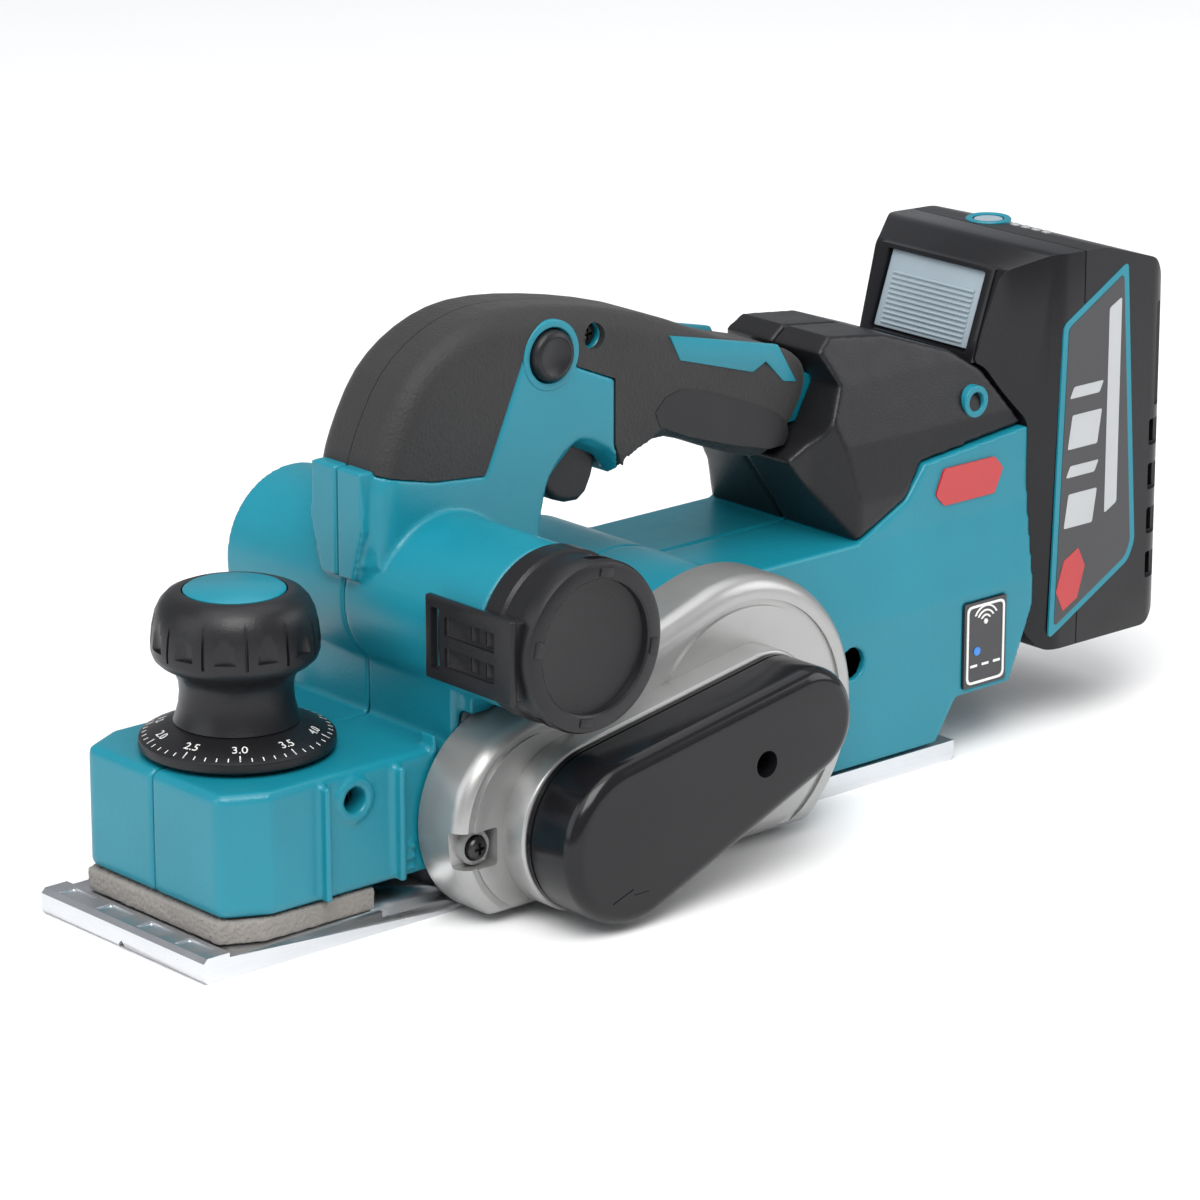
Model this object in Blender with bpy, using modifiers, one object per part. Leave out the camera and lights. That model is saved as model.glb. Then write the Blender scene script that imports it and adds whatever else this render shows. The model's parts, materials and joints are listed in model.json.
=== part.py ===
"""Cordless 82 mm hand planer with a slide-on battery, as an assembly of separate pieces.

Frame: the origin is on the rear sole, on the centre line.  +X runs from the front base to
the battery, -Y is the belt side (the left hand side in use), +Z is up.  Units are metres.
"""
import math

import bpy
import bmesh
from mathutils import Matrix, Vector

MM = 0.001
GAP = 0.3 * MM                     # between pieces that touch
EPS = 1.0 * MM                     # how far a cutter runs past a face

# ---------------------------------------------------------------- driving dimensions
# Soles
BASE_WIDTH = 84.0 * MM
BASE_THICK = 7.0 * MM
FRONT_END_X = -220.0 * MM
REAR_END_X = 101.5 * MM
FRONT_LIP = 10.0 * MM              # bare strip in front of the foam seal
FRONT_LIP_THICK = 8.5 * MM
SEAL_THICK = 7.7 * MM
DEPTH_TRAVEL = 4.0 * MM

# Cutter drum
DRUM_X = -90.5 * MM
CUT_RADIUS = 29.2 * MM
SOLE_CLEAR = 0.3 * MM              # blades stop this far above the sole plane
BLADE_OUT = 3.2 * MM               # how far the blades stand out of the drum
DRUM_SIDE_CLEAR = 1.5 * MM         # drum end to the side of the base
AXLE_RADIUS = 5.0 * MM
BLADE_THICK = 1.1 * MM
CHAMBER_CLEAR = 2.0 * MM
FRAME_WALL = 4.0 * MM

# Motor and belt
MOTOR_RADIUS = 38.0 * MM
ROTOR_RADIUS = 18.0 * MM
SHAFT_RADIUS = 4.0 * MM
DRUM_PULLEY_RADIUS = 21.0 * MM
MOTOR_PULLEY_RADIUS = 12.5 * MM
BELT_THICK = 2.0 * MM
BELT_WIDTH = 9.0 * MM
BELT_CLEAR = 1.6 * MM              # belt to the inside of its cover
WALL = 2.5 * MM

# Belt side, measured outwards from the side of the base
CASTING_DEPTH = 20.7 * MM
CASTING_STEP = 10.0 * MM
COVER_DEPTH = 22.0 * MM
DISC_MARGIN = 12.0 * MM            # the casting's disc is this much wider than the motor

# Chip duct
DUCT_FORWARD = 13.0 * MM           # duct axis ahead of the drum axis
DUCT_RADIUS = 27.0 * MM
DUCT_FAR_REACH = 18.0 * MM         # past the side of the base
CAP_DEPTH = 24.0 * MM

# Front housing and depth knob
FRONT_HOUSING_X = FRONT_END_X + 13.0 * MM
KNOB_X = FRONT_END_X + 46.8 * MM
DIAL_RADIUS = 31.0 * MM
KNOB_RADIUS = 26.5 * MM
NECK_RADIUS = 18.0 * MM
KNOB_HEIGHT = 51.0 * MM            # from the housing to the top of the knob
DEPTH_SCREW_RADIUS = 4.0 * MM

# Handle
HANDLE_HALF = 17.5 * MM
GRIP_THICK = 2.2 * MM

# Battery
BATTERY_HALF = 42.0 * MM
BATTERY_LOW = 29.0 * MM
BATTERY_HIGH = 169.5 * MM
BATTERY_FRONT_X = 140.3 * MM
BATTERY_REAR_X = 203.0 * MM
BATTERY_SPLIT_X = 160.5 * MM
CELL_RADIUS = 10.4 * MM
CELL_ROWS = 5
CELL_COLUMNS = 2

# ---------------------------------------------------------------- derived places
BASE_HALF = BASE_WIDTH / 2
DRUM_Z = CUT_RADIUS + SOLE_CLEAR
FRONT_HOUSING_TOP = DRUM_Z + 26.0 * MM
DRUM_RADIUS = CUT_RADIUS - BLADE_OUT
DRUM_HALF = BASE_HALF - DRUM_SIDE_CLEAR
CHAMBER_RADIUS = CUT_RADIUS + CHAMBER_CLEAR
FRAME_RADIUS = CHAMBER_RADIUS + FRAME_WALL
MOTOR_X = DRUM_X + FRAME_RADIUS + MOTOR_RADIUS + 1.8 * MM
MOTOR_Z = BASE_THICK + MOTOR_RADIUS + 6.5 * MM
DISC_RADIUS = MOTOR_RADIUS + DISC_MARGIN
DUCT_X = DRUM_X - DUCT_FORWARD
DUCT_Z = DRUM_Z + FRAME_RADIUS + DUCT_RADIUS + 3.3 * MM
DUCT_FAR_Y = BASE_HALF + DUCT_FAR_REACH
SIDE_Y = BASE_HALF                                   # side of the base and of the body
CASTING_Y = -(SIDE_Y + GAP)                          # inner face of the belt casting
CASTING_FACE_Y = CASTING_Y - CASTING_DEPTH
STEP_FACE_Y = CASTING_FACE_Y - CASTING_STEP
COVER_BACK_Y = STEP_FACE_Y - GAP
COVER_FACE_Y = COVER_BACK_Y - COVER_DEPTH
DUCT_NEAR_Y = CASTING_FACE_Y - 3.0 * MM
PULLEY_Y = STEP_FACE_Y + BELT_WIDTH / 2              # middle of the belt
SEAL_TOP = BASE_THICK + GAP + SEAL_THICK
HOUSING_LOW = SEAL_TOP + GAP
KNOB_LOW = FRONT_HOUSING_TOP + 1.5 * MM
KNOB_TOP = KNOB_LOW + KNOB_HEIGHT
FAR_WALL_Y = DRUM_HALF + 1.0 * MM                    # inner face of the far drum wall
FAR_WALL_THICK = 5.0 * MM
BODY_FAR_Y = FAR_WALL_Y + FAR_WALL_THICK + GAP + WALL

FAR = 0.5                                            # larger than the whole object

# ---------------------------------------------------------------- scene
for old in list(bpy.data.objects):
    bpy.data.objects.remove(old, do_unlink=True)

PARTS = bpy.data.collections.new("hand_planer")
CUTTERS = bpy.data.collections.new("cutters")
bpy.context.scene.collection.children.link(PARTS)
bpy.context.scene.collection.children.link(CUTTERS)


def material(name, color, roughness, metallic=0.0):
    made = bpy.data.materials.new(name)
    made.use_nodes = True
    shader = made.node_tree.nodes["Principled BSDF"]
    shader.inputs["Base Color"].default_value = (*color, 1.0)
    shader.inputs["Roughness"].default_value = roughness
    shader.inputs["Metallic"].default_value = metallic
    return made


TEAL = material("teal_plastic", (0.015, 0.21, 0.26), 0.38)
BLACK = material("black_plastic", (0.016, 0.016, 0.018), 0.42)
GLOSS = material("gloss_black_plastic", (0.010, 0.010, 0.011), 0.22)
RUBBER = material("grip_elastomer", (0.028, 0.027, 0.028), 0.75)
CASTING = material("painted_casting", (0.30, 0.30, 0.29), 0.38, 0.6)
ALUMINIUM = material("machined_aluminium", (0.72, 0.73, 0.75), 0.33, 1.0)
STEEL = material("bright_steel", (0.60, 0.60, 0.60), 0.28, 1.0)
DARK_STEEL = material("black_steel", (0.05, 0.05, 0.05), 0.35, 1.0)
COPPER = material("copper_winding", (0.72, 0.30, 0.12), 0.35, 1.0)
FOAM = material("grey_foam", (0.22, 0.20, 0.18), 0.95)
BELT = material("belt_rubber", (0.02, 0.02, 0.02), 0.65)
BOARD = material("circuit_board", (0.02, 0.13, 0.05), 0.45)
GREY = material("grey_plastic", (0.36, 0.42, 0.46), 0.35)
LABEL = material("panel_film", (0.05, 0.05, 0.055), 0.35)


# ---------------------------------------------------------------- building tools
def add_object(name, mesh, look):
    made = bpy.data.objects.new(name, mesh)
    if look is None:
        CUTTERS.objects.link(made)
        made.hide_render = True
        made.display_type = "WIRE"
    else:
        PARTS.objects.link(made)
        mesh.materials.clear()
        mesh.materials.append(look)
    return made


def mesh_from(name, bm):
    bmesh.ops.recalc_face_normals(bm, faces=bm.faces)
    mesh = bpy.data.meshes.new(name)
    bm.to_mesh(mesh)
    bm.free()
    return mesh


def box(name, low, high, look=None):
    """A box between two opposite corners, with its origin in the middle."""
    low, high = Vector(low), Vector(high)
    bm = bmesh.new()
    bmesh.ops.create_cube(bm, size=1.0)
    bmesh.ops.scale(bm, vec=high - low, verts=bm.verts)
    made = add_object(name, mesh_from(name, bm), look)
    made.location = (low + high) / 2
    return made


AXIS_TURN = {
    "Z": Matrix.Identity(4),
    "X": Matrix.Rotation(math.pi / 2, 4, "Y"),
    "Y": Matrix.Rotation(-math.pi / 2, 4, "X"),
}


def cylinder(name, start, axis, length, radius, look=None, segments=28, top_radius=None):
    """A round bar that starts at a point and runs along +X, +Y or +Z."""
    bm = bmesh.new()
    bmesh.ops.create_cone(bm, cap_ends=True, segments=segments, radius1=radius,
                          radius2=radius if top_radius is None else top_radius, depth=length)
    bmesh.ops.translate(bm, vec=(0, 0, length / 2), verts=bm.verts)
    bmesh.ops.transform(bm, matrix=AXIS_TURN[axis], verts=bm.verts)
    made = add_object(name, mesh_from(name, bm), look)
    made.location = start
    return made


def y_bar(name, x, z, y_low, y_high, radius, look=None, segments=28):
    return cylinder(name, (x, y_low, z), "Y", y_high - y_low, radius, look, segments)


PLANES = {
    "XY": Matrix.Identity(4),
    "XZ": Matrix(((1, 0, 0, 0), (0, 0, -1, 0), (0, 1, 0, 0), (0, 0, 0, 1))),
    "YZ": Matrix(((0, 0, 1, 0), (1, 0, 0, 0), (0, 1, 0, 0), (0, 0, 0, 1))),
}
PLANE_SIDE = {"XY": 1, "XZ": -1, "YZ": 1}


def plate(name, outline, plane, low, high, look=None, holes=()):
    """A flat outline in one plane, extruded between two heights across that plane."""
    curve = bpy.data.curves.new(name, "CURVE")
    curve.dimensions = "2D"
    curve.fill_mode = "BOTH"
    curve.extrude = (high - low) / 2
    for loop in (outline, *holes):
        spline = curve.splines.new("POLY")
        spline.points.add(len(loop) - 1)
        spline.use_cyclic_u = True
        for point, (u, v) in zip(spline.points, loop):
            point.co = (u, v, 0, 1)
    guide = bpy.data.objects.new(name, curve)
    CUTTERS.objects.link(guide)
    depsgraph = bpy.context.evaluated_depsgraph_get()
    mesh = bpy.data.meshes.new_from_object(guide.evaluated_get(depsgraph))
    bpy.data.objects.remove(guide, do_unlink=True)
    middle = PLANE_SIDE[plane] * (high + low) / 2
    bm = bmesh.new()
    bm.from_mesh(mesh)
    bpy.data.meshes.remove(mesh)
    bmesh.ops.remove_doubles(bm, verts=bm.verts, dist=1e-6)
    bmesh.ops.dissolve_limit(bm, angle_limit=0.001, verts=bm.verts, edges=bm.edges)
    bmesh.ops.translate(bm, vec=(0, 0, middle), verts=bm.verts)
    bmesh.ops.transform(bm, matrix=PLANES[plane], verts=bm.verts)
    return add_object(name, mesh_from(name, bm), look)


ROUND_STEPS = ((0.0, 1.0), (0.29, 0.29), (1.0, 0.0))    # (inset, depth) as shares of the rounding


def rounded_plate(name, outline, half, rounding, look=None):
    """An XZ outline between -half and +half in Y, with its two side edges rounded over."""
    bm = bmesh.new()
    levels = [(across * rounding, half - deep * rounding) for across, deep in ROUND_STEPS]
    levels = [(shrink, -y) for shrink, y in levels[::-1]] + levels
    rings = []
    for shrink, y in levels:
        rings.append([bm.verts.new((x, y, z)) for x, z in inset(outline, shrink)])
    count = len(outline)
    for lower, upper in zip(rings, rings[1:]):
        for i in range(count):
            j = (i + 1) % count
            bm.faces.new((lower[i], lower[j], upper[j], upper[i]))
    bm.faces.new(rings[0])
    bm.faces.new(rings[-1])
    return add_object(name, mesh_from(name, bm), look)


def turned(name, profile, origin, axis, look=None, steps=24):
    """A profile of (radius, height) points, top to bottom on the outside, turned round an axis."""
    mesh = bpy.data.meshes.new(name)
    points = [(radius, 0, height) for radius, height in profile]
    count = len(points)
    loop = [(i, (i + 1) % count) for i in range(count)]
    edges = [(a, b) for a, b in loop if profile[a][0] > 0 or profile[b][0] > 0]
    mesh.from_pydata(points, edges, [])
    made = add_object(name, mesh, look)
    made.location = origin
    made.rotation_euler = AXIS_TURN[axis].to_euler()
    screw = made.modifiers.new("turn", "SCREW")
    screw.steps = steps
    screw.render_steps = steps
    screw.use_merge_vertices = True
    screw.merge_threshold = 1e-5
    return made


def boolean(target, tool, operation):
    modifier = target.modifiers.new(operation.lower(), "BOOLEAN")
    modifier.operation = operation
    modifier.solver = "EXACT"
    modifier.object = tool
    return target


def cut(target, *tools):
    for tool in tools:
        boolean(target, tool, "DIFFERENCE")
    return target


def join(target, *tools):
    for tool in tools:
        boolean(target, tool, "UNION")
    return target


def keep(target, *tools):
    for tool in tools:
        boolean(target, tool, "INTERSECT")
    return target


def soften(target, width, segments=2, angle=40):
    bevel = target.modifiers.new("soften", "BEVEL")
    bevel.width = width
    bevel.segments = segments
    bevel.limit_method = "ANGLE"
    bevel.angle_limit = math.radians(angle)
    bevel.use_clamp_overlap = True
    return target


def tube(name, points, radius, look, resolution=2):
    """A round wire through points, as a closed mesh."""
    curve = bpy.data.curves.new(name, "CURVE")
    curve.dimensions = "3D"
    curve.bevel_depth = radius
    curve.bevel_resolution = resolution
    curve.use_fill_caps = True
    spline = curve.splines.new("POLY")
    spline.points.add(len(points) - 1)
    for point, place in zip(spline.points, points):
        point.co = (*place, 1)
    guide = bpy.data.objects.new(name, curve)
    CUTTERS.objects.link(guide)
    depsgraph = bpy.context.evaluated_depsgraph_get()
    mesh = bpy.data.meshes.new_from_object(guide.evaluated_get(depsgraph))
    bpy.data.objects.remove(guide, do_unlink=True)
    bm = bmesh.new()
    bm.from_mesh(mesh)
    bpy.data.meshes.remove(mesh)
    bmesh.ops.remove_doubles(bm, verts=bm.verts, dist=1e-6)
    return add_object(name, mesh_from(name, bm), look)


def coil(name, centre, axis, length, radius, wire, turns, look):
    """A compression spring with flat-lying end turns."""
    per_turn = 10
    points = []
    for i in range(turns * per_turn + 1):
        angle = 2 * math.pi * i / per_turn
        along = wire + (length - 2 * wire) * i / (turns * per_turn)
        place = Vector((radius * math.cos(angle), radius * math.sin(angle), along))
        points.append(Vector(centre) + AXIS_TURN[axis] @ place)
    return tube(name, points, wire, look)


def mm_points(*pairs):
    return [(u * MM, v * MM) for u, v in pairs]


def arc(x, z, radius, count=32):
    step = 2 * math.pi / count
    return [(x + radius * math.cos(i * step), z + radius * math.sin(i * step)) for i in range(count)]


def hull(points):
    """The convex outline round a set of points, counter-clockwise."""
    points = sorted(set(points))

    def half(run):
        chain = []
        for p in run:
            while len(chain) > 1:
                (ax, az), (bx, bz) = chain[-2], chain[-1]
                if (bx - ax) * (p[1] - az) - (bz - az) * (p[0] - ax) > 1e-12:
                    break
                chain.pop()
            chain.append(p)
        return chain[:-1]

    return half(points) + half(points[::-1])


def two_circles(first, second, count=28):
    """The outline of a belt that runs round two circles given as (x, z, radius)."""
    return hull(arc(*first, count) + arc(*second, count))


def inset(outline, distance):
    """Moves each side of a counter-clockwise outline inwards, or outwards if negative."""
    moved = []
    count = len(outline)
    for i in range(count):
        before, here, after = (Vector(outline[(i + k) % count]) for k in (-1, 0, 1))
        first = (here - before).normalized()
        second = (after - here).normalized()
        normal_a = Vector((-first.y, first.x))
        normal_b = Vector((-second.y, second.x))
        bisector = (normal_a + normal_b).normalized()
        reach = distance / max(0.35, bisector.dot(normal_a))
        moved.append(tuple(here + bisector * reach))
    return moved


def clip_low(outline, level):
    """Flattens the underside of a convex outline at a level."""
    return hull([(x, max(z, level)) for x, z in outline])


# ---------------------------------------------------------------- soles
def chord(height):
    """Half the width of the cutting circle at a height above the sole plane."""
    return math.sqrt(max(0.0, CUT_RADIUS ** 2 - (DRUM_Z - height) ** 2))


MOUTH_CLEAR = 1.5 * MM
FRONT_MOUTH_LOW_X = DRUM_X - chord(DEPTH_TRAVEL) - MOUTH_CLEAR
FRONT_MOUTH_HIGH_X = DRUM_X - chord(DEPTH_TRAVEL + BASE_THICK) - MOUTH_CLEAR
REAR_MOUTH_LOW_X = DRUM_X + 0.28 * CUT_RADIUS
REAR_MOUTH_HIGH_X = DRUM_X + chord(BASE_THICK) + 2 * MOUTH_CLEAR
EDGE = 1.5 * MM
GROOVE_HALF = 4.0 * MM
GROOVE_DEEP = 3.0 * MM
NUT_BOSS_RADIUS = 9.0 * MM
NUT_BOSS_TOP = 30.0 * MM
GUIDE_X = DRUM_X - FRAME_RADIUS - 14.3 * MM
GUIDE_THICK = 8.0 * MM
GUIDE_HALF = 22.0 * MM
SCREW_BORE = DEPTH_SCREW_RADIUS + GAP
SCREW_BORE_LOW = GROOVE_DEEP + 1.5 * MM


def front_base():
    profile = [(FRONT_END_X, EDGE), (FRONT_END_X + EDGE, 0), (FRONT_MOUTH_LOW_X, 0),
               (FRONT_MOUTH_HIGH_X, BASE_THICK), (FRONT_END_X + FRONT_LIP, BASE_THICK),
               (FRONT_END_X + FRONT_LIP, FRONT_LIP_THICK), (FRONT_END_X + EDGE, FRONT_LIP_THICK),
               (FRONT_END_X, FRONT_LIP_THICK - EDGE)]
    sole = plate("front_base", profile, "XZ", -BASE_HALF, BASE_HALF, ALUMINIUM)
    boss = cylinder("nut_boss", (KNOB_X, 0, BASE_THICK / 2), "Z", NUT_BOSS_TOP - BASE_THICK / 2,
                    NUT_BOSS_RADIUS, segments=24)
    guide = box("base_guide", (GUIDE_X - GUIDE_THICK / 2, -GUIDE_HALF, BASE_THICK / 2),
                (GUIDE_X + GUIDE_THICK / 2, GUIDE_HALF, NUT_BOSS_TOP))
    groove = plate("sole_groove", [(-GROOVE_HALF, -EPS), (GROOVE_HALF, -EPS), (0, GROOVE_DEEP)], "YZ",
                   FRONT_END_X - EPS, FRONT_MOUTH_LOW_X + EPS)
    bore = cylinder("nut_bore", (KNOB_X, 0, SCREW_BORE_LOW), "Z", NUT_BOSS_TOP, SCREW_BORE, segments=20)
    join(sole, boss, guide)
    cut(sole, groove, bore)


def rear_base():
    profile = [(REAR_MOUTH_LOW_X, 0), (REAR_END_X - EDGE, 0), (REAR_END_X, EDGE),
               (REAR_END_X, BASE_THICK), (REAR_MOUTH_HIGH_X, BASE_THICK)]
    plate("rear_base", profile, "XZ", -BASE_HALF, BASE_HALF, ALUMINIUM)


SEAL_FRONT_X = FRONT_HOUSING_X - 1.0 * MM
SEAL_REAR_X = -151.0 * MM
SEAL_HALF = BASE_HALF - 1.5 * MM
SEAL_CORNER = 13.0 * MM
SEAL_WIDTH = 8.0 * MM


def front_outline(front_x, rear_x, half, corner):
    """The plan of the front housing and its seal: a box with its two front corners cut off."""
    return [(front_x, -half + corner / 2), (front_x + corner, -half), (rear_x, -half),
            (rear_x, half), (front_x + corner, half), (front_x, half - corner / 2)]


def base_seal():
    outer = front_outline(SEAL_FRONT_X, SEAL_REAR_X, SEAL_HALF, SEAL_CORNER)
    plate("base_seal", outer, "XY", BASE_THICK + GAP, BASE_THICK + GAP + SEAL_THICK, FOAM,
          holes=[inset(outer, SEAL_WIDTH)])


# ---------------------------------------------------------------- cutter drum and its frame
FRAME_NEAR_Y = CASTING_Y + GAP
FRAME_LOW = BASE_THICK + DEPTH_TRAVEL + 0.5 * MM
FRAME_DECK_X = DRUM_X + FRAME_RADIUS + 14.0 * MM
THROAT_LOW_X = DUCT_X - 9.0 * MM
THROAT_HIGH_X = DUCT_X + 10.0 * MM
THROAT_HALF = 33.0 * MM
THROAT_TOP = DUCT_Z - DUCT_RADIUS - 3.0 * MM
BEARING_RADIUS = 8.0 * MM
BIG_BEARING_RADIUS = 11.0 * MM
BIG_BEARING_WIDTH = 9.0 * MM

FRAME_OUTLINE = hull(arc(DRUM_X, DRUM_Z, FRAME_RADIUS, 32)
                     + [(THROAT_LOW_X - FRAME_WALL, THROAT_TOP), (THROAT_HIGH_X + FRAME_WALL, THROAT_TOP)])


def drum_frame():
    frame = plate("drum_frame", FRAME_OUTLINE, "XZ", FRAME_NEAR_Y, FAR_WALL_Y + FAR_WALL_THICK, ALUMINIUM)
    chamber = y_bar("drum_chamber", DRUM_X, DRUM_Z, FRAME_NEAR_Y - EPS, FAR_WALL_Y, CHAMBER_RADIUS)
    throat = box("chip_throat", (THROAT_LOW_X, -THROAT_HALF, DRUM_Z), (THROAT_HIGH_X, THROAT_HALF, FAR))
    under = box("frame_underside", (-FAR, -FAR, -FAR), (FAR, FAR, FRAME_LOW))
    bore = y_bar("far_bearing_bore", DRUM_X, DRUM_Z, FAR_WALL_Y - EPS, FAR, BEARING_RADIUS + GAP,
                 segments=24)
    deck = box("frame_deck", (DRUM_X + CHAMBER_RADIUS - 2.5 * MM, FRAME_NEAR_Y + EPS, BASE_THICK + GAP),
               (FRAME_DECK_X, SIDE_Y - EPS, HOUSING_LOW - GAP))
    cut(frame, chamber, throat, under, bore)
    join(frame, deck)


BLADE_SEAT = DRUM_RADIUS - 7.5 * MM
CLAMP_THICK = 4.5 * MM
CLAMP_TOP = DRUM_RADIUS - 2.5 * MM
BLADE_HALF = DRUM_HALF - 0.5 * MM
POCKET_THICK = CLAMP_THICK + BLADE_THICK + 3 * GAP


def drum_side(angle):
    """Turns a piece built above the axle into its place round the drum."""
    return Matrix.Translation((DRUM_X, 0, DRUM_Z)) @ Matrix.Rotation(angle, 4, "Y")


def cutter_drum():
    centre = (DRUM_X, 0, DRUM_Z)
    shaft_far = FAR_WALL_Y + FAR_WALL_THICK
    shaft_near = STEP_FACE_Y - EPS
    profile = [(AXLE_RADIUS, shaft_far), (AXLE_RADIUS, DRUM_HALF), (DRUM_RADIUS, DRUM_HALF),
               (DRUM_RADIUS, -DRUM_HALF), (AXLE_RADIUS, -DRUM_HALF), (AXLE_RADIUS, shaft_near),
               (0, shaft_near), (0, shaft_far)]
    drum = turned("cutter_drum", profile, centre, "Y", ALUMINIUM, steps=32)
    for letter, angle in (("a", 0.0), ("b", math.pi)):
        turn = drum_side(angle)
        pocket = box(f"blade_pocket_{letter}", (-BLADE_THICK - GAP, -FAR, BLADE_SEAT - GAP),
                     (POCKET_THICK - BLADE_THICK, FAR, FAR))
        pocket.matrix_world = turn @ pocket.matrix_basis
        cut(drum, pocket)
        blade = box(f"blade_{letter}", (-BLADE_THICK, -BLADE_HALF, BLADE_SEAT),
                    (0, BLADE_HALF, math.sqrt(CUT_RADIUS ** 2 - BLADE_THICK ** 2)), STEEL)
        blade.matrix_world = turn @ blade.matrix_basis
        clamp = box(f"blade_clamp_{letter}", (GAP, -BLADE_HALF, BLADE_SEAT),
                    (GAP + CLAMP_THICK, BLADE_HALF, CLAMP_TOP), DARK_STEEL)
        clamp.matrix_world = turn @ clamp.matrix_basis


PULLEY_HALF = BELT_WIDTH / 2 + 0.5 * MM


def pulley(name, x, z, radius, bore):
    """A flat belt wheel, its rim a gap inside the belt."""
    rim = radius - GAP
    profile = [(rim, PULLEY_HALF), (rim, -PULLEY_HALF), (bore, -PULLEY_HALF), (bore, PULLEY_HALF)]
    return turned(name, profile, (x, PULLEY_Y, z), "Y", ALUMINIUM, steps=24)


def ring(name, x, z, y_low, y_high, outer, inner, look, steps=20):
    profile = [(outer, y_high), (outer, y_low), (inner, y_low), (inner, y_high)]
    return turned(name, profile, (x, 0, z), "Y", look, steps)


def drum_drive():
    pulley("drum_pulley", DRUM_X, DRUM_Z, DRUM_PULLEY_RADIUS, AXLE_RADIUS + GAP)
    near_high = CASTING_Y - 0.7 * MM
    ring("drum_bearing_left", DRUM_X, DRUM_Z, near_high - BIG_BEARING_WIDTH, near_high,
         BIG_BEARING_RADIUS, AXLE_RADIUS + GAP, STEEL)
    ring("drum_bearing_right", DRUM_X, DRUM_Z, FAR_WALL_Y + 0.5 * MM,
         FAR_WALL_Y + FAR_WALL_THICK - 0.5 * MM, BEARING_RADIUS, AXLE_RADIUS + GAP, STEEL)


# ---------------------------------------------------------------- motor
BAY_RADIUS = MOTOR_RADIUS - 3.0 * MM
BAY_FAR_Y = BODY_FAR_Y - WALL
STATOR_LOW_Y = CASTING_Y + 12.3 * MM
STATOR_HIGH_Y = BAY_FAR_Y - 22.8 * MM
PULLEY_FLOOR_Y = STEP_FACE_Y + BELT_WIDTH + 2.5 * MM
BEARING_WALL = 7.0 * MM
FAN_ROOM_Y = PULLEY_FLOOR_Y + BEARING_WALL
FAN_RADIUS = BAY_RADIUS - 3.5 * MM
FAN_BLADES = 9
MOTOR_BEARING_RADIUS = 9.0 * MM
MOTOR_SEAT_Y = BAY_FAR_Y - 12.0 * MM


def motor():
    slots = 6
    stator = ring("motor_stator", MOTOR_X, MOTOR_Z, STATOR_LOW_Y, STATOR_HIGH_Y,
                  BAY_RADIUS - GAP, ROTOR_RADIUS + 1.0 * MM, COPPER, steps=28)
    for i in range(slots):
        angle = 2 * math.pi * (i + 0.37) / slots
        middle = (ROTOR_RADIUS + BAY_RADIUS) / 2
        slot = y_bar(f"stator_slot_{i}", MOTOR_X + middle * math.cos(angle),
                     MOTOR_Z + middle * math.sin(angle), -FAR, FAR, 3.2 * MM, segments=6)
        cut(stator, slot)
    ring("motor_rotor", MOTOR_X, MOTOR_Z, STATOR_LOW_Y + EPS, STATOR_HIGH_Y - EPS,
         ROTOR_RADIUS, SHAFT_RADIUS + GAP, STEEL)
    y_bar("motor_shaft", MOTOR_X, MOTOR_Z, STEP_FACE_Y - EPS, BAY_FAR_Y - 2.0 * MM, SHAFT_RADIUS, STEEL, 20)
    pulley("motor_pulley", MOTOR_X, MOTOR_Z, MOTOR_PULLEY_RADIUS, SHAFT_RADIUS + GAP)
    ring("motor_bearing_left", MOTOR_X, MOTOR_Z, PULLEY_FLOOR_Y + 1.0 * MM, FAN_ROOM_Y - 0.6 * MM,
         MOTOR_BEARING_RADIUS, SHAFT_RADIUS + GAP, STEEL)
    ring("motor_bearing_right", MOTOR_X, MOTOR_Z, MOTOR_SEAT_Y + 1.0 * MM, MOTOR_SEAT_Y + 7.0 * MM,
         MOTOR_BEARING_RADIUS, SHAFT_RADIUS + GAP, STEEL)


def cooling_fan():
    back = FAN_ROOM_Y + 1.0 * MM
    front = CASTING_Y + 1.0 * MM
    plate_thick = 2.0 * MM
    hub = 9.0 * MM
    profile = [(hub, front), (hub, back + plate_thick), (FAN_RADIUS, back + plate_thick),
               (FAN_RADIUS, back), (SHAFT_RADIUS + GAP, back), (SHAFT_RADIUS + GAP, front)]
    fan = turned("cooling_fan", profile, (MOTOR_X, 0, MOTOR_Z), "Y", BLACK, steps=24)
    centre = Matrix.Translation((MOTOR_X, 0, MOTOR_Z))
    for i in range(FAN_BLADES):
        vane = box(f"fan_vane_{i}", (hub - EPS, back + plate_thick / 2, -0.8 * MM),
                   (FAN_RADIUS - 0.5 * MM, front - EPS, 0.8 * MM))
        turn = Matrix.Rotation(2 * math.pi * (i + 0.5) / FAN_BLADES, 4, "Y")
        vane.matrix_world = centre @ turn @ vane.matrix_basis
        join(fan, vane)


# ---------------------------------------------------------------- belt side
BELT_ROOM_FRONT = DRUM_PULLEY_RADIUS + BELT_THICK + BELT_CLEAR
BELT_ROOM_REAR = MOTOR_PULLEY_RADIUS + BELT_THICK + BELT_CLEAR
COVER_OUTLINE = two_circles((DRUM_X, DRUM_Z, BELT_ROOM_FRONT + WALL),
                            (MOTOR_X, MOTOR_Z, BELT_ROOM_REAR + WALL))
CASTING_LOW = 3.0 * MM
STEP_OUTLINE = clip_low(two_circles((DRUM_X, DRUM_Z, BELT_ROOM_FRONT + WALL + 1.0 * MM),
                                    (MOTOR_X, MOTOR_Z, BELT_ROOM_REAR + WALL + 1.0 * MM)), CASTING_LOW)
ROOM_OUTLINE = two_circles((DRUM_X, DRUM_Z, BELT_ROOM_FRONT), (MOTOR_X, MOTOR_Z, BELT_ROOM_REAR))
LOBE_RADIUS = 34.5 * MM
LOBE_X = DRUM_X - 10.5 * MM
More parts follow.
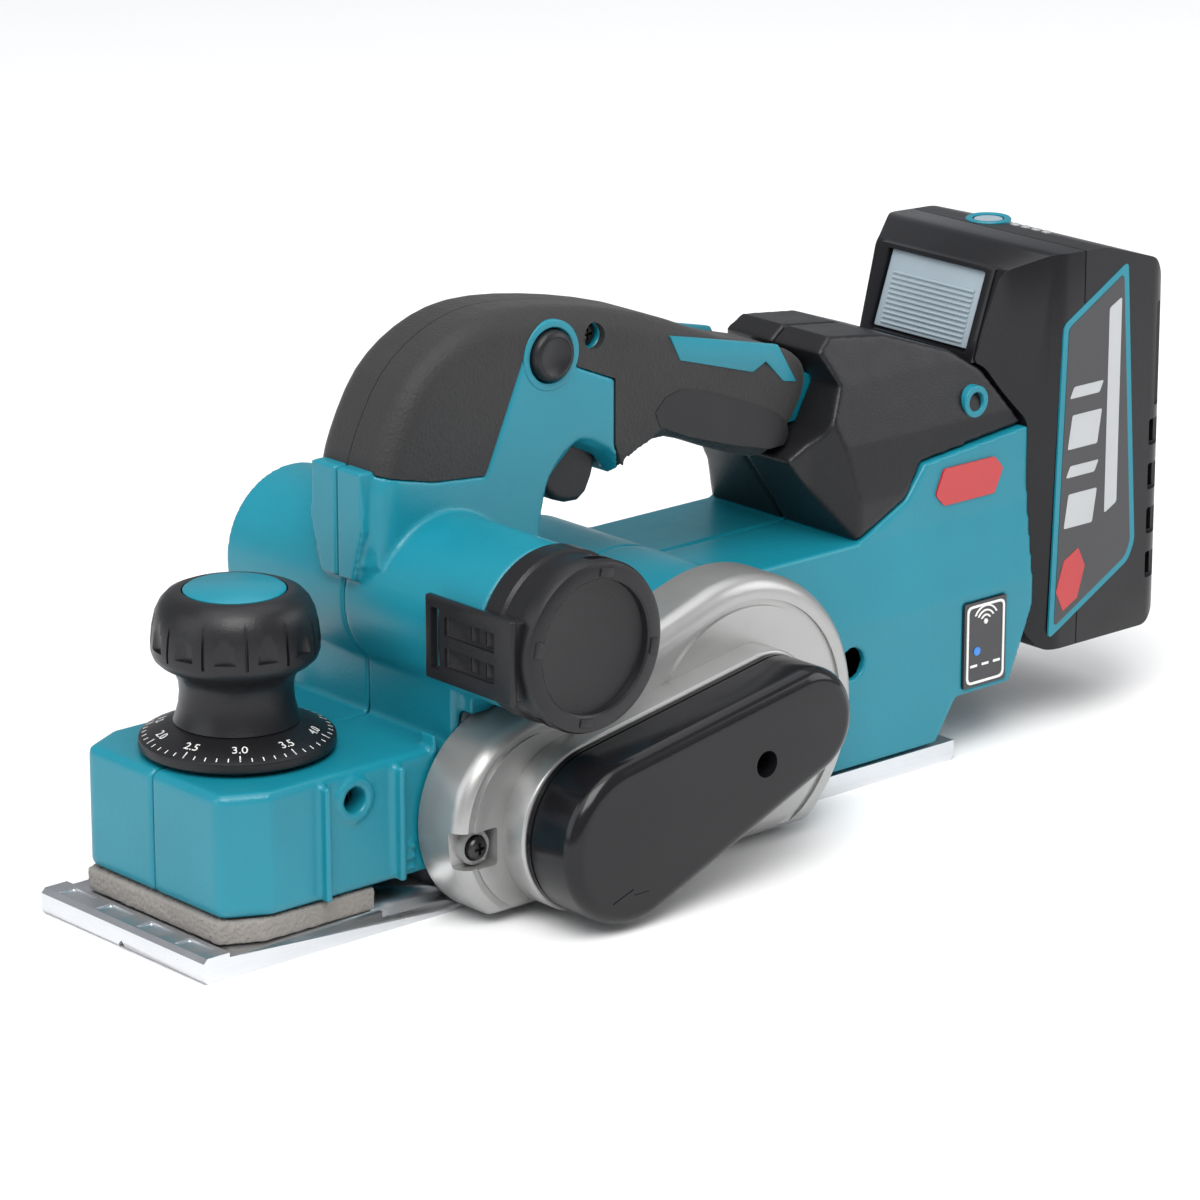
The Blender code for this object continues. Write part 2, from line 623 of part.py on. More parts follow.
LOBE_Z = DRUM_Z + 2.0 * MM
DISC_Z = MOTOR_Z - 8.5 * MM
CASTING_OUTLINE = clip_low(two_circles((LOBE_X, LOBE_Z, LOBE_RADIUS), (MOTOR_X, DISC_Z, DISC_RADIUS), 32),
                           CASTING_LOW)
COVER_SCREW_SHARE = 0.727          # of the way from the drum axle to the motor shaft
COVER_SCREW_X = DRUM_X + COVER_SCREW_SHARE * (MOTOR_X - DRUM_X)
COVER_SCREW_Z = DRUM_Z + COVER_SCREW_SHARE * (MOTOR_Z - DRUM_Z) - 2.2 * MM
POST_RADIUS = 5.0 * MM
SCREW_HEAD = 3.9 * MM
SCREW_SHANK = 1.9 * MM
SCREW_CLEAR = 0.35 * MM
CASTING_SCREW_X = -127.0 * MM
CASTING_SCREW_Z = DRUM_Z - 2.0 * MM
CASTING_SCREW_SEAT_Y = CASTING_FACE_Y + 6.0 * MM


def screw(name, x, z, y_head, y_seat, y_tip, look=DARK_STEEL):
    """A pan head screw that runs along +Y from its head to its tip."""
    profile = [(SCREW_SHANK, y_tip), (SCREW_SHANK, y_seat), (SCREW_HEAD, y_seat), (SCREW_HEAD, y_head),
               (0, y_head), (0, y_tip)]
    return turned(name, profile, (x, 0, z), "Y", look, steps=16)


def belt_casting():
    casting = plate("belt_casting", CASTING_OUTLINE, "XZ", CASTING_FACE_Y, CASTING_Y, CASTING)
    soften(casting, 7.0 * MM, segments=2)
    flat_back = box("casting_back", (-FAR, CASTING_Y - 8.0 * MM, -FAR), (FAR, FAR, FAR))
    back_layer = plate("casting_back_layer", CASTING_OUTLINE, "XZ", CASTING_Y - 8.5 * MM, CASTING_Y)
    step = plate("casting_step", STEP_OUTLINE, "XZ", STEP_FACE_Y, CASTING_FACE_Y + EPS)
    room = plate("pulley_room", ROOM_OUTLINE, "XZ", -FAR, PULLEY_FLOOR_Y)
    fan_room = y_bar("fan_room", MOTOR_X, MOTOR_Z, FAN_ROOM_Y, FAR, BAY_RADIUS)
    axle_hole = y_bar("axle_hole", DRUM_X, DRUM_Z, -FAR, FAR, AXLE_RADIUS + 1.0 * MM, segments=24)
    big_bore = y_bar("near_bearing_bore", DRUM_X, DRUM_Z, CASTING_Y - BIG_BEARING_WIDTH - 1.2 * MM, FAR,
                     BIG_BEARING_RADIUS + GAP)
    shaft_hole = y_bar("shaft_hole", MOTOR_X, MOTOR_Z, -FAR, FAR, SHAFT_RADIUS + 1.0 * MM, segments=20)
    motor_bore = y_bar("motor_bearing_bore", MOTOR_X, MOTOR_Z, PULLEY_FLOOR_Y + 0.7 * MM, FAR,
                       MOTOR_BEARING_RADIUS + GAP, segments=24)
    post = y_bar("cover_post", COVER_SCREW_X, COVER_SCREW_Z, STEP_FACE_Y, PULLEY_FLOOR_Y + EPS,
                 POST_RADIUS, segments=20)
    post_bore = y_bar("cover_post_bore", COVER_SCREW_X, COVER_SCREW_Z, -FAR, PULLEY_FLOOR_Y + 2.0 * MM,
                      SCREW_SHANK + SCREW_CLEAR, segments=16)
    notch_half = 6.0 * MM
    notch = box("screw_notch", (-FAR, -FAR, CASTING_SCREW_Z - notch_half),
                (CASTING_SCREW_X + SCREW_HEAD + 2.5 * MM, CASTING_SCREW_SEAT_Y,
                 CASTING_SCREW_Z + notch_half))
    screw_bore = y_bar("casting_screw_bore", CASTING_SCREW_X, CASTING_SCREW_Z, -FAR,
                       CASTING_SCREW_SEAT_Y + 12.0 * MM, SCREW_SHANK + SCREW_CLEAR, segments=16)
    duct_way = y_bar("casting_duct_way", DUCT_X, DUCT_Z, -FAR, FAR, DUCT_RADIUS + 1.5 * GAP, segments=40)
    cut(casting, flat_back)
    join(casting, back_layer, step)
    cut(casting, duct_way, room, fan_room, axle_hole, big_bore, shaft_hole, motor_bore)
    join(casting, post)
    cut(casting, post_bore, notch, screw_bore)
    screw("belt_casting_screw", CASTING_SCREW_X, CASTING_SCREW_Z, CASTING_SCREW_SEAT_Y - 3.3 * MM,
          CASTING_SCREW_SEAT_Y - GAP, CASTING_SCREW_SEAT_Y + 11.0 * MM)


def belt_cover():
    cover = plate("belt_cover", COVER_OUTLINE, "XZ", COVER_FACE_Y, COVER_BACK_Y + 20.0 * MM, BLACK)
    soften(cover, 5.5 * MM, segments=2)
    cut(cover, box("cover_back", (-FAR, COVER_BACK_Y, -FAR), (FAR, FAR, FAR)),
        plate("cover_room", ROOM_OUTLINE, "XZ", COVER_FACE_Y + WALL + 1.5 * MM, FAR))
    seat_y = COVER_BACK_Y - 6.0 * MM
    post = y_bar("cover_screw_post", COVER_SCREW_X, COVER_SCREW_Z, COVER_FACE_Y + EPS, COVER_BACK_Y,
                 POST_RADIUS + 1.5 * MM, segments=20)
    bore = y_bar("cover_screw_bore", COVER_SCREW_X, COVER_SCREW_Z, -FAR, FAR, SCREW_SHANK + SCREW_CLEAR,
                 segments=16)
    sink = y_bar("cover_screw_sink", COVER_SCREW_X, COVER_SCREW_Z, -FAR, seat_y, SCREW_HEAD + 0.8 * MM,
                 segments=20)
    join(cover, post)
    cut(cover, bore, sink)
    screw("belt_cover_screw", COVER_SCREW_X, COVER_SCREW_Z, seat_y - 3.3 * MM, seat_y - GAP,
          PULLEY_FLOOR_Y - EPS)


def drive_belt():
    inner = two_circles((DRUM_X, DRUM_Z, DRUM_PULLEY_RADIUS), (MOTOR_X, MOTOR_Z, MOTOR_PULLEY_RADIUS), 40)
    outer = two_circles((DRUM_X, DRUM_Z, DRUM_PULLEY_RADIUS + BELT_THICK),
                        (MOTOR_X, MOTOR_Z, MOTOR_PULLEY_RADIUS + BELT_THICK), 40)
    plate("drive_belt", outer, "XZ", PULLEY_Y - BELT_WIDTH / 2, PULLEY_Y + BELT_WIDTH / 2, BELT,
          holes=[inner])


# ---------------------------------------------------------------- chip duct cap
DUCT_WALL = 3.0 * MM
DUCT_BORE = DUCT_RADIUS - DUCT_WALL
CAP_RADIUS = DUCT_RADIUS + 0.8 * MM
LATCH_HALF = 13.5 * MM
LATCH_THICK = 2.5 * MM
LATCH_REACH = 21.0 * MM            # how far the latch arm runs over the duct


def chip_cap():
    back = DUCT_NEAR_Y - GAP
    face = back - CAP_DEPTH
    spigot = DUCT_BORE - 0.5 * MM
    plug = 14.0 * MM
    profile = [(spigot, back + plug), (spigot, back), (CAP_RADIUS, back), (CAP_RADIUS, face + 1.5 * MM),
               (CAP_RADIUS - 1.5 * MM, face), (CAP_RADIUS - 6.0 * MM, face),
               (CAP_RADIUS - 6.5 * MM, face + 2.5 * MM), (0, face + 2.5 * MM),
               (0, face + 5.0 * MM), (spigot - WALL, face + 5.0 * MM), (spigot - WALL, back + plug)]
    cap = turned("chip_cap", profile, (DUCT_X, 0, DUCT_Z), "Y", BLACK, steps=28)
    arm_x = DUCT_X - CAP_RADIUS - 3.2 * MM
    arm_end = back + LATCH_REACH
    arm = box("latch_arm", (arm_x, face + 4.0 * MM, DUCT_Z - LATCH_HALF),
              (arm_x + LATCH_THICK, arm_end, DUCT_Z + LATCH_HALF))
    bridge = box("latch_bridge", (arm_x + LATCH_THICK / 2, face + 4.0 * MM, DUCT_Z - LATCH_HALF + EPS),
                 (arm_x + 9.0 * MM, back - 2.0 * MM, DUCT_Z + LATCH_HALF - EPS))
    hollow = y_bar("cap_hollow", DUCT_X, DUCT_Z, face + 3.0 * MM, back + EPS, CAP_RADIUS - WALL / 2)
    slot = box("latch_slot", (-FAR, arm_end - 7.0 * MM, DUCT_Z - LATCH_HALF + 3.5 * MM),
               (arm_x + 4.0 * MM, arm_end - 3.0 * MM, DUCT_Z + LATCH_HALF - 3.5 * MM))
    cut(join(cap, arm, cut(bridge, hollow)), slot)
    for side in (-1, 1):
        groove_z = DUCT_Z + side * 5.0 * MM
        cut(cap, box(f"latch_groove_{side}", (-FAR, back - 12.0 * MM, groove_z - 2.0 * MM),
                     (arm_x + 1.6 * MM, arm_end - 9.5 * MM, groove_z + 2.0 * MM)))


# ---------------------------------------------------------------- handle outlines
HANDLE_LIFT = DUCT_Z - 95.0 * MM   # the handle stands on the duct, and is drawn for one 95 mm up
BODY_REAR_X = BATTERY_FRONT_X - 0.8 * MM


def handle_points(*pairs):
    return [(x, z + HANDLE_LIFT) for x, z in mm_points(*pairs)]


HANDLE = handle_points((-120, 92), (-62, 92), (-60.3, 108.5), (-56.5, 123.5), (-46, 132.3), (-35, 127),
                   (-28, 119.5), (-21.6, 124.4), (-5, 127.5), (21.8, 117.2), (38.2, 113.2), (49.5, 122),
                   (57.5, 136), (52, 147.3), (21.5, 156.5), (-14, 171), (-48, 179.5), (-77.3, 182.4),
                   (-98, 177), (-114.2, 165.3), (-125, 147), (-129, 132), (-130.5, 108))
TEAL_ZONE = handle_points((-150, 60), (0, 60), (0, 105), (-24, 114), (-31, 131), (-31, 153), (-47.5, 160),
                      (-48.5, 168), (-54, 175.5), (-62, 176), (-68, 171), (-86, 131), (-107, 133),
                      (-126, 137.5), (-150, 145))
CORE_OUTLINE = inset(HANDLE, GRIP_THICK + GAP)
HANDLE_PLAIN = [p for p in HANDLE if p not in handle_points((-35, 127), (-28, 119.5), (-21.6, 124.4))]
CAVITY_OUTLINE = inset(HANDLE_PLAIN, GRIP_THICK + GAP + WALL)
CORE_HALF = HANDLE_HALF - GRIP_THICK - GAP
CAVITY_HALF = CORE_HALF - WALL
HANDLE_ROUND = 7.0 * MM
CORE_ROUND = 5.0 * MM

REAR_COVER = [*handle_points((40.5, 112.5)), *mm_points((60, 84.5), (82, 95), (91, 106)),
              (BODY_REAR_X - 0.1 * MM, 110.7 * MM), (BODY_REAR_X - 14.7 * MM, BATTERY_HIGH - 38.5 * MM),
              (BODY_REAR_X - 27.5 * MM, BATTERY_HIGH - 30.2 * MM),
              *handle_points((84, 149), (60, 152), (54, 147.5), (60, 136), (51.5, 121))]
COVER_HALF = SIDE_Y - 5.5 * MM
REAR_PLAN = [(34 * MM, -20 * MM), (48 * MM, -25 * MM), (61 * MM, -COVER_HALF), (FAR, -COVER_HALF),
             (FAR, COVER_HALF), (61 * MM, COVER_HALF), (48 * MM, 25 * MM), (34 * MM, 20 * MM)]
COVER_SLOPE = ((0.0, 97), (3.5, 116), (9.5, 136), (15.5, 153))   # (mm inwards, mm up)


def cover_slope(side):
    """One side of the collar's cross section, from its foot to its top."""
    foot = (side * (COVER_HALF + 0.3 * MM), 80 * MM)
    return [foot, *((side * (COVER_HALF - back * MM), up * MM + HANDLE_LIFT) for back, up in COVER_SLOPE)]


REAR_SECTION = cover_slope(1) + cover_slope(-1)[::-1]
COVER_WALL = 3.0 * MM

REAR_BODY = [*mm_points((-10, 30), (10, 7.6)), (REAR_END_X - 7.5 * MM, 7.6 * MM),
             (REAR_END_X + 1.5 * MM, 21.5 * MM), (BODY_REAR_X - 10.5 * MM, 22 * MM),
             (BODY_REAR_X, 47 * MM), (BODY_REAR_X, 110.1 * MM),
             *mm_points((91, 105.6), (81.8, 94.6), (60, 84.1), (-10, 84))]
BODY_SECTION = [(-SIDE_Y + EPS, 0), (SIDE_Y - EPS, 0), (SIDE_Y - EPS, 57 * MM),
                (SIDE_Y - 4.5 * MM, 84 * MM), (COVER_HALF, 112 * MM), (-COVER_HALF, 112 * MM),
                (-SIDE_Y + 4.5 * MM, 84 * MM), (-SIDE_Y + EPS, 57 * MM)]
FRONT_CORNER = 15.0 * MM
FRONT_HALF = BASE_HALF - 1.0 * MM
FRONT_REAR_X = DRUM_X - FRAME_RADIUS - 1.0 * MM
SHOULDER_TOP = DUCT_Z - 16.0 * MM
NECK = handle_points((36, 122), (66, 122), (66, 78), (88, 78), (88, 138), (36, 138))
NECK_LONG = handle_points((20, 122), (66, 122), (66, 60), (88, 60), (88, 138), (20, 138))
NECK_HALF = 12.0 * MM
SCREW_POSTS = dict(zip(("pillar", "front", "rear"),
                       handle_points((-79.3, 125.9), (-40.0, 168.5), (25.4, 124.2))))
POST_SEAT_Y = -9.0 * MM
POST_BORE_END = 12.5 * MM
LOCK_X = -58.4 * MM
LOCK_Z = 165.4 * MM + HANDLE_LIFT
LOCK_RADIUS = 8.5 * MM
LOCK_OUT = 2.5 * MM
LOCK_TRAVEL = 3.5 * MM
TRIGGER_HALF = 8.5 * MM
TRIGGER_PIVOT = (-58.5 * MM, 0, 131.5 * MM + HANDLE_LIFT)
TRIGGER = handle_points((-62.5, 129.5), (-57, 124.5), (-52.6, 117), (-49, 113.6), (-44.5, 112),
                        (-39, 111.6), (-35.5, 114), (-33, 119), (-31, 126), (-31, 135.5), (-42, 138.5),
                        (-58, 136.5), (-62, 134))
FOOT_X = 108.0 * MM
FOOT_Z = 14.0 * MM
FOOT_MIDDLE_Y = 22.0 * MM
FOOT_WIDTH = 12.0 * MM
FOOT_PIN_RADIUS = 2.0 * MM
HUB_RADIUS = 9.0 * MM
HUB_LOW = NUT_BOSS_TOP + DEPTH_TRAVEL + 4.0 * MM
PANEL_LOW = (106 * MM, 24 * MM)
PANEL_HIGH = (126 * MM, 54 * MM)
TERMINAL_HALF = 14.0 * MM
TERMINAL_LOW = 52.0 * MM
TERMINAL_HIGH = 96.0 * MM


def front_block(name, shrink, low, high, rear_x):
    outline = front_outline(FRONT_HOUSING_X, rear_x, FRONT_HALF, FRONT_CORNER)
    return plate(name, inset(outline, shrink), "XY", low, high)


def body_outer():
    """The outside of the two housing halves before they are split and hollowed."""
    body = front_block("body_outer", 0.0, HOUSING_LOW, FRONT_HOUSING_TOP, FRONT_REAR_X + 20 * MM)
    soften(body, 2.5 * MM)
    shoulder = box("shoulder", (DRUM_X - FRAME_RADIUS + 5.0 * MM, -FRONT_HALF, HOUSING_LOW),
                   (DUCT_X + DUCT_RADIUS, BODY_FAR_Y, SHOULDER_TOP))
    near_block = box("near_block", (DRUM_X - FRAME_RADIUS + 9.0 * MM, -SIDE_Y - 4.0 * MM, LOBE_Z + 10 * MM),
                     (DUCT_X + DUCT_RADIUS - 4.0 * MM, 0, SHOULDER_TOP - 2.0 * MM))
    duct = y_bar("duct", DUCT_X, DUCT_Z, DUCT_NEAR_Y, DUCT_FAR_Y, DUCT_RADIUS, segments=40)
    belly = plate("belly", [(DRUM_X, HOUSING_LOW), (MOTOR_X, HOUSING_LOW), (MOTOR_X, MOTOR_Z + 30 * MM),
                            (DUCT_X + 14 * MM, DUCT_Z - 8 * MM), (DUCT_X, DUCT_Z - 12 * MM)],
                  "XZ", CASTING_Y + 3 * GAP, BODY_FAR_Y - EPS)
    bay = y_bar("motor_barrel", MOTOR_X, MOTOR_Z, CASTING_Y + 2 * GAP, BODY_FAR_Y, MOTOR_RADIUS,
                segments=40)
    soften(bay, 2.0 * MM, segments=1)
    rear = keep(plate("rear_body", REAR_BODY, "XZ", -FAR, FAR),
                plate("body_section", BODY_SECTION, "YZ", -FAR, FAR))
    core = rounded_plate("handle_core", CORE_OUTLINE, CORE_HALF, CORE_ROUND)
    flush = keep(rounded_plate("handle_flush", HANDLE, HANDLE_HALF, HANDLE_ROUND),
                 plate("teal_zone", inset(TEAL_ZONE, GAP), "XZ", -FAR, FAR))
    neck = plate("neck_core", NECK, "XZ", -NECK_HALF, NECK_HALF)
    return join(body, shoulder, near_block, duct, belly, bay, rear, core, flush, neck)


def body_rooms():
    """The hollows inside the housing halves."""
    front = front_block("front_room", 3.5 * MM, -FAR, FRONT_HOUSING_TOP - 3.5 * MM, FRONT_REAR_X)
    frame = plate("frame_room", inset(FRAME_OUTLINE, -GAP - 0.1 * MM), "XZ", -FAR,
                  FAR_WALL_Y + FAR_WALL_THICK + GAP)
    bore = y_bar("duct_bore", DUCT_X, DUCT_Z, -FAR, FAR, DUCT_BORE, segments=40)
    throat = box("duct_throat", (THROAT_LOW_X, -THROAT_HALF, THROAT_TOP - EPS),
                 (THROAT_HIGH_X, THROAT_HALF, DUCT_Z))
    bay = y_bar("motor_room", MOTOR_X, MOTOR_Z, -FAR, BAY_FAR_Y, BAY_RADIUS, segments=40)
    rear = keep(plate("rear_room", inset(REAR_BODY, 3.5 * MM), "XZ", -FAR, FAR),
                plate("rear_room_section", inset(BODY_SECTION, 3.0 * MM), "YZ", -FAR, FAR))
    handle = plate("handle_room", CAVITY_OUTLINE, "XZ", -CAVITY_HALF, CAVITY_HALF)
    handle = cut(handle, box("handle_room_floor", (-FAR, -FAR, -FAR),
                             (DUCT_X + DUCT_RADIUS + 12 * MM, FAR, DUCT_Z + DUCT_RADIUS + EPS)))
    neck = plate("neck_room", inset(NECK_LONG, WALL), "XZ", -NECK_HALF + WALL, NECK_HALF - WALL)
    trigger_way = plate("trigger_way", handle_points((-66, 126), (-60, 118), (-54, 108), (-29.5, 108),
                                                 (-29.5, 142), (-66, 142)),
                        "XZ", -TRIGGER_HALF - 0.7 * MM, TRIGGER_HALF + 0.7 * MM)
    lock_way = y_bar("lock_way", LOCK_X, LOCK_Z, -FAR, FAR, LOCK_RADIUS + 0.4 * MM, segments=28)
    terminal_way = box("terminal_way", (128 * MM, -TERMINAL_HALF - GAP, TERMINAL_LOW - GAP),
                       (FAR, TERMINAL_HALF + GAP, TERMINAL_HIGH + GAP))
    casting = plate("casting_way", inset(CASTING_OUTLINE, -GAP), "XZ", -FAR, CASTING_Y + GAP)
    cut(casting, y_bar("duct_kept", DUCT_X, DUCT_Z, -FAR, FAR, DUCT_RADIUS + GAP / 3, segments=40))
    return [front, frame, bore, throat, bay, rear, handle, neck, trigger_way, lock_way, terminal_way,
            casting]


def whole_housing():
    """Both halves in one piece: hollowed, with the screw posts and the depth screw's boss put back."""
    whole = cut(body_outer(), *body_rooms())
    boss = cylinder("knob_boss", (KNOB_X, 0, HUB_LOW), "Z", FRONT_HOUSING_TOP - EPS - HUB_LOW, HUB_RADIUS,
                    segments=24)
    join(whole, boss)
    limit = rounded_plate("post_limit", inset(CORE_OUTLINE, GAP), CORE_HALF - EPS, CORE_ROUND)
    for post, (x, z) in SCREW_POSTS.items():
        bar = y_bar(f"post_{post}", x, z, -CORE_HALF, CORE_HALF, POST_RADIUS, segments=16)
        join(whole, keep(bar, limit))
    cut(whole, cylinder("knob_boss_bore", (KNOB_X, 0, 0), "Z", FAR, SCREW_BORE, segments=20))
    for post, (x, z) in SCREW_POSTS.items():
        bore = y_bar(f"post_bore_{post}", x, z, -FAR, POST_BORE_END, SCREW_SHANK + SCREW_CLEAR,
                     segments=14)
        sink = y_bar(f"post_sink_{post}", x, z, -FAR, POST_SEAT_Y, SCREW_HEAD + SCREW_CLEAR,
                     segments=16)
        cut(whole, bore, sink)
    return whole


def housings():
    whole = whole_housing()
    left = keep(box("housing_left", (-FAR, -FAR, -FAR), (FAR, -GAP / 2, FAR), TEAL), whole)
    right = keep(box("housing_right", (-FAR, GAP / 2, -FAR), (FAR, FAR, FAR), TEAL), whole)
    panel_seat = box("panel_seat", (PANEL_LOW[0] - GAP, -FAR, PANEL_LOW[1] - GAP),
                     (PANEL_HIGH[0] + GAP, -SIDE_Y + 2.5 * MM, PANEL_HIGH[1] + GAP))
    cut(left, panel_seat)
    box("wireless_panel", (PANEL_LOW[0], -SIDE_Y + 0.3 * MM, PANEL_LOW[1]),
        (PANEL_HIGH[0], -SIDE_Y + 2.5 * MM - GAP, PANEL_HIGH[1]), LABEL)
    motor_seat = ring("motor_seat", MOTOR_X, MOTOR_Z, MOTOR_SEAT_Y, BAY_FAR_Y + EPS,
                      MOTOR_BEARING_RADIUS + 3 * MM, MOTOR_BEARING_RADIUS + GAP, None)
    join(right, motor_seat)
    for offset in (-1, 1):
        ear_y = FOOT_MIDDLE_Y + offset * (FOOT_WIDTH / 2 + 2.0 * MM)
        ear = box(f"foot_ear_{offset}", (FOOT_X - 4.0 * MM, ear_y - 1.5 * MM, FOOT_Z - 4.0 * MM),
                  (FOOT_X + 4.5 * MM, ear_y + 1.5 * MM, FOOT_Z + 9.0 * MM))
        join(right, ear)
    cut(right, y_bar("foot_pin_bore", FOOT_X, FOOT_Z, 0.01 * MM, FOOT_MIDDLE_Y + FOOT_WIDTH,
                     FOOT_PIN_RADIUS + GAP, segments=14))


def grips():
    """The elastomer overmould on each side of the handle."""
    outer = rounded_plate("grip_outer", HANDLE, HANDLE_HALF, HANDLE_ROUND)
    teal = plate("grip_teal_zone", TEAL_ZONE, "XZ", -FAR, FAR)
    core = rounded_plate("grip_core", inset(HANDLE, GRIP_THICK), CORE_HALF + GAP, CORE_ROUND)
    nose = plate("grip_nose", inset(NECK, -GAP), "XZ", -NECK_HALF - GAP, NECK_HALF + GAP)
    for tag, low_y, high_y in (("left", -FAR, -GAP / 2), ("right", GAP / 2, FAR)):
        grip = keep(box(f"grip_{tag}", (-FAR, low_y, -FAR), (FAR, high_y, FAR), RUBBER), outer)
        cut(grip, teal, core, nose)
        if tag == "left":
            for post, (x, z) in SCREW_POSTS.items():
                cut(grip, y_bar(f"grip_hole_{post}", x, z, -FAR, 0, SCREW_HEAD + SCREW_CLEAR,
                                segments=16))


def rear_covers():
    """The black collar between the handle and the battery, one shell on each side."""
    outer = keep(plate("collar_outer", REAR_COVER, "XZ", -FAR, FAR),
                 plate("collar_plan", REAR_PLAN, "XY", -FAR, FAR),
                 plate("collar_section", REAR_SECTION, "YZ", -FAR, FAR))
    inner = keep(plate("collar_room", inset(REAR_COVER, COVER_WALL), "XZ", -FAR, FAR),
                 plate("collar_room_plan", inset(REAR_PLAN, COVER_WALL), "XY", -FAR, FAR),
                 plate("collar_room_section", inset(REAR_SECTION, COVER_WALL), "YZ", -FAR, FAR))
    neck_way = plate("collar_neck_way", inset(NECK, -GAP), "XZ", -NECK_HALF - GAP, NECK_HALF + GAP)
    for tag, low_y, high_y in (("left", -FAR, -GAP / 2), ("right", GAP / 2, FAR)):
        shell = keep(box(f"rear_cover_{tag}", (-FAR, low_y, -FAR), (FAR, high_y, FAR), RUBBER), outer)
        cut(shell, inner, neck_way)


def handle_screws():
    for post, (x, z) in SCREW_POSTS.items():
        screw(f"handle_screw_{post}", x, z, POST_SEAT_Y - 3.0 * MM, POST_SEAT_Y - GAP, 11.5 * MM)


# ---------------------------------------------------------------- controls
def trigger_group():
    trigger = plate("trigger", TRIGGER, "XZ", -TRIGGER_HALF, TRIGGER_HALF, BLACK)
    soften(trigger, 1.2 * MM, segments=1)
    px, _, pz = TRIGGER_PIVOT
    trigger.data.transform(Matrix.Translation((-px, 0, -pz)))
    trigger.location = TRIGGER_PIVOT
    cut(trigger, y_bar("trigger_bore", px, pz, -FAR, FAR, 2.3 * MM, segments=16))
    y_bar("trigger_pin", px, pz, -CAVITY_HALF + GAP, CAVITY_HALF - GAP, 2.0 * MM, STEEL, 14)


def lock_off_button():
    inner = 5.0 * MM
    far_end = HANDLE_HALF - LOCK_TRAVEL - 0.5 * MM
    profile = [(inner, far_end), (inner, -7 * MM), (LOCK_RADIUS, -7 * MM),
               (LOCK_RADIUS, -HANDLE_HALF - LOCK_OUT + 1.2 * MM),
               (LOCK_RADIUS - 1.2 * MM, -HANDLE_HALF - LOCK_OUT),
               (0, -HANDLE_HALF - LOCK_OUT), (0, far_end)]
    turned("lock_off_button", profile, (LOCK_X, 0, LOCK_Z), "Y", BLACK, steps=28)


def switch_unit():
    body = box("switch_unit", (-42 * MM, -10.5 * MM, 143.5 * MM + HANDLE_LIFT),
               (-12 * MM, 10.5 * MM, 160.5 * MM + HANDLE_LIFT), BLACK)
    soften(body, 1.0 * MM, segments=1)


# ---------------------------------------------------------------- depth knob
DIAL_RISE = 2.7 * MM
SCALLOPS = 12


def knob():
    centre = (KNOB_X, 0, 0)
    neck_low = KNOB_LOW + 8.0 * MM
    bore = SCREW_BORE
    rim_top = KNOB_LOW + DIAL_RISE
    dial = [(NECK_RADIUS + 2.2 * MM, KNOB_LOW + 8.0 * MM), (DIAL_RADIUS - 1.0 * MM, rim_top + 1 * MM),
            (DIAL_RADIUS, rim_top), (DIAL_RADIUS, KNOB_LOW), (NECK_RADIUS - 4 * MM, KNOB_LOW),
            (NECK_RADIUS - 4 * MM, KNOB_LOW + 8.0 * MM)]
    turned("dial_ring", dial, centre, "Z", BLACK, steps=36)
    cap_low = KNOB_TOP - 27.0 * MM
    profile = [(KNOB_RADIUS - 8.5 * MM, KNOB_TOP - 0.6 * MM), (KNOB_RADIUS - 3.5 * MM, KNOB_TOP - 4.0 * MM),
               (KNOB_RADIUS - 0.6 * MM, KNOB_TOP - 11.0 * MM), (KNOB_RADIUS, KNOB_TOP - 19.0 * MM),
               (KNOB_RADIUS - 1.0 * MM, KNOB_TOP - 22.5 * MM), (NECK_RADIUS + 1.0 * MM, cap_low),
               (NECK_RADIUS, cap_low - 5.0 * MM), (NECK_RADIUS + 2.0 * MM, neck_low + GAP),
               (bore, neck_low + GAP), (bore, KNOB_TOP - 5.5 * MM),
               (KNOB_RADIUS - 9.6 * MM, KNOB_TOP - 5.5 * MM),
               (KNOB_RADIUS - 9.6 * MM, KNOB_TOP - 0.6 * MM)]
    grip = turned("knob_grip", profile, centre, "Z", BLACK, steps=24)
    for i in range(SCALLOPS):
        angle = 2 * math.pi * (i + 0.5) / SCALLOPS
        reach = KNOB_RADIUS + 2.2 * MM
        dent = cylinder(f"scallop_{i}", (KNOB_X + reach * math.cos(angle), reach * math.sin(angle),
                                         KNOB_TOP - 19.0 * MM), "Z", 14.0 * MM, 4.0 * MM, segments=8)
        cut(grip, dent)
    badge_radius = KNOB_RADIUS - 9.6 * MM - GAP
    badge_thick = 2.2 * MM
    cylinder("knob_badge", (KNOB_X, 0, KNOB_TOP - badge_thick), "Z", badge_thick, badge_radius, TEAL, 28)
    screw_low = SCREW_BORE_LOW + DEPTH_TRAVEL + 1.5 * MM
    cylinder("depth_screw", (KNOB_X, 0, screw_low), "Z", KNOB_TOP - 6.0 * MM - screw_low,
             DEPTH_SCREW_RADIUS, STEEL, 20)
    coil("depth_spring", (KNOB_X, 0, BASE_THICK + GAP), "Z", HUB_LOW - BASE_THICK - 2 * GAP,
         NUT_BOSS_RADIUS + 2.0 * MM, 0.9 * MM, 4, STEEL)


# ---------------------------------------------------------------- battery
def from_corner(x, z, *pairs):
    """Points given in millimetres from a corner."""
    return [(x + u * MM, z + v * MM) for u, v in pairs]


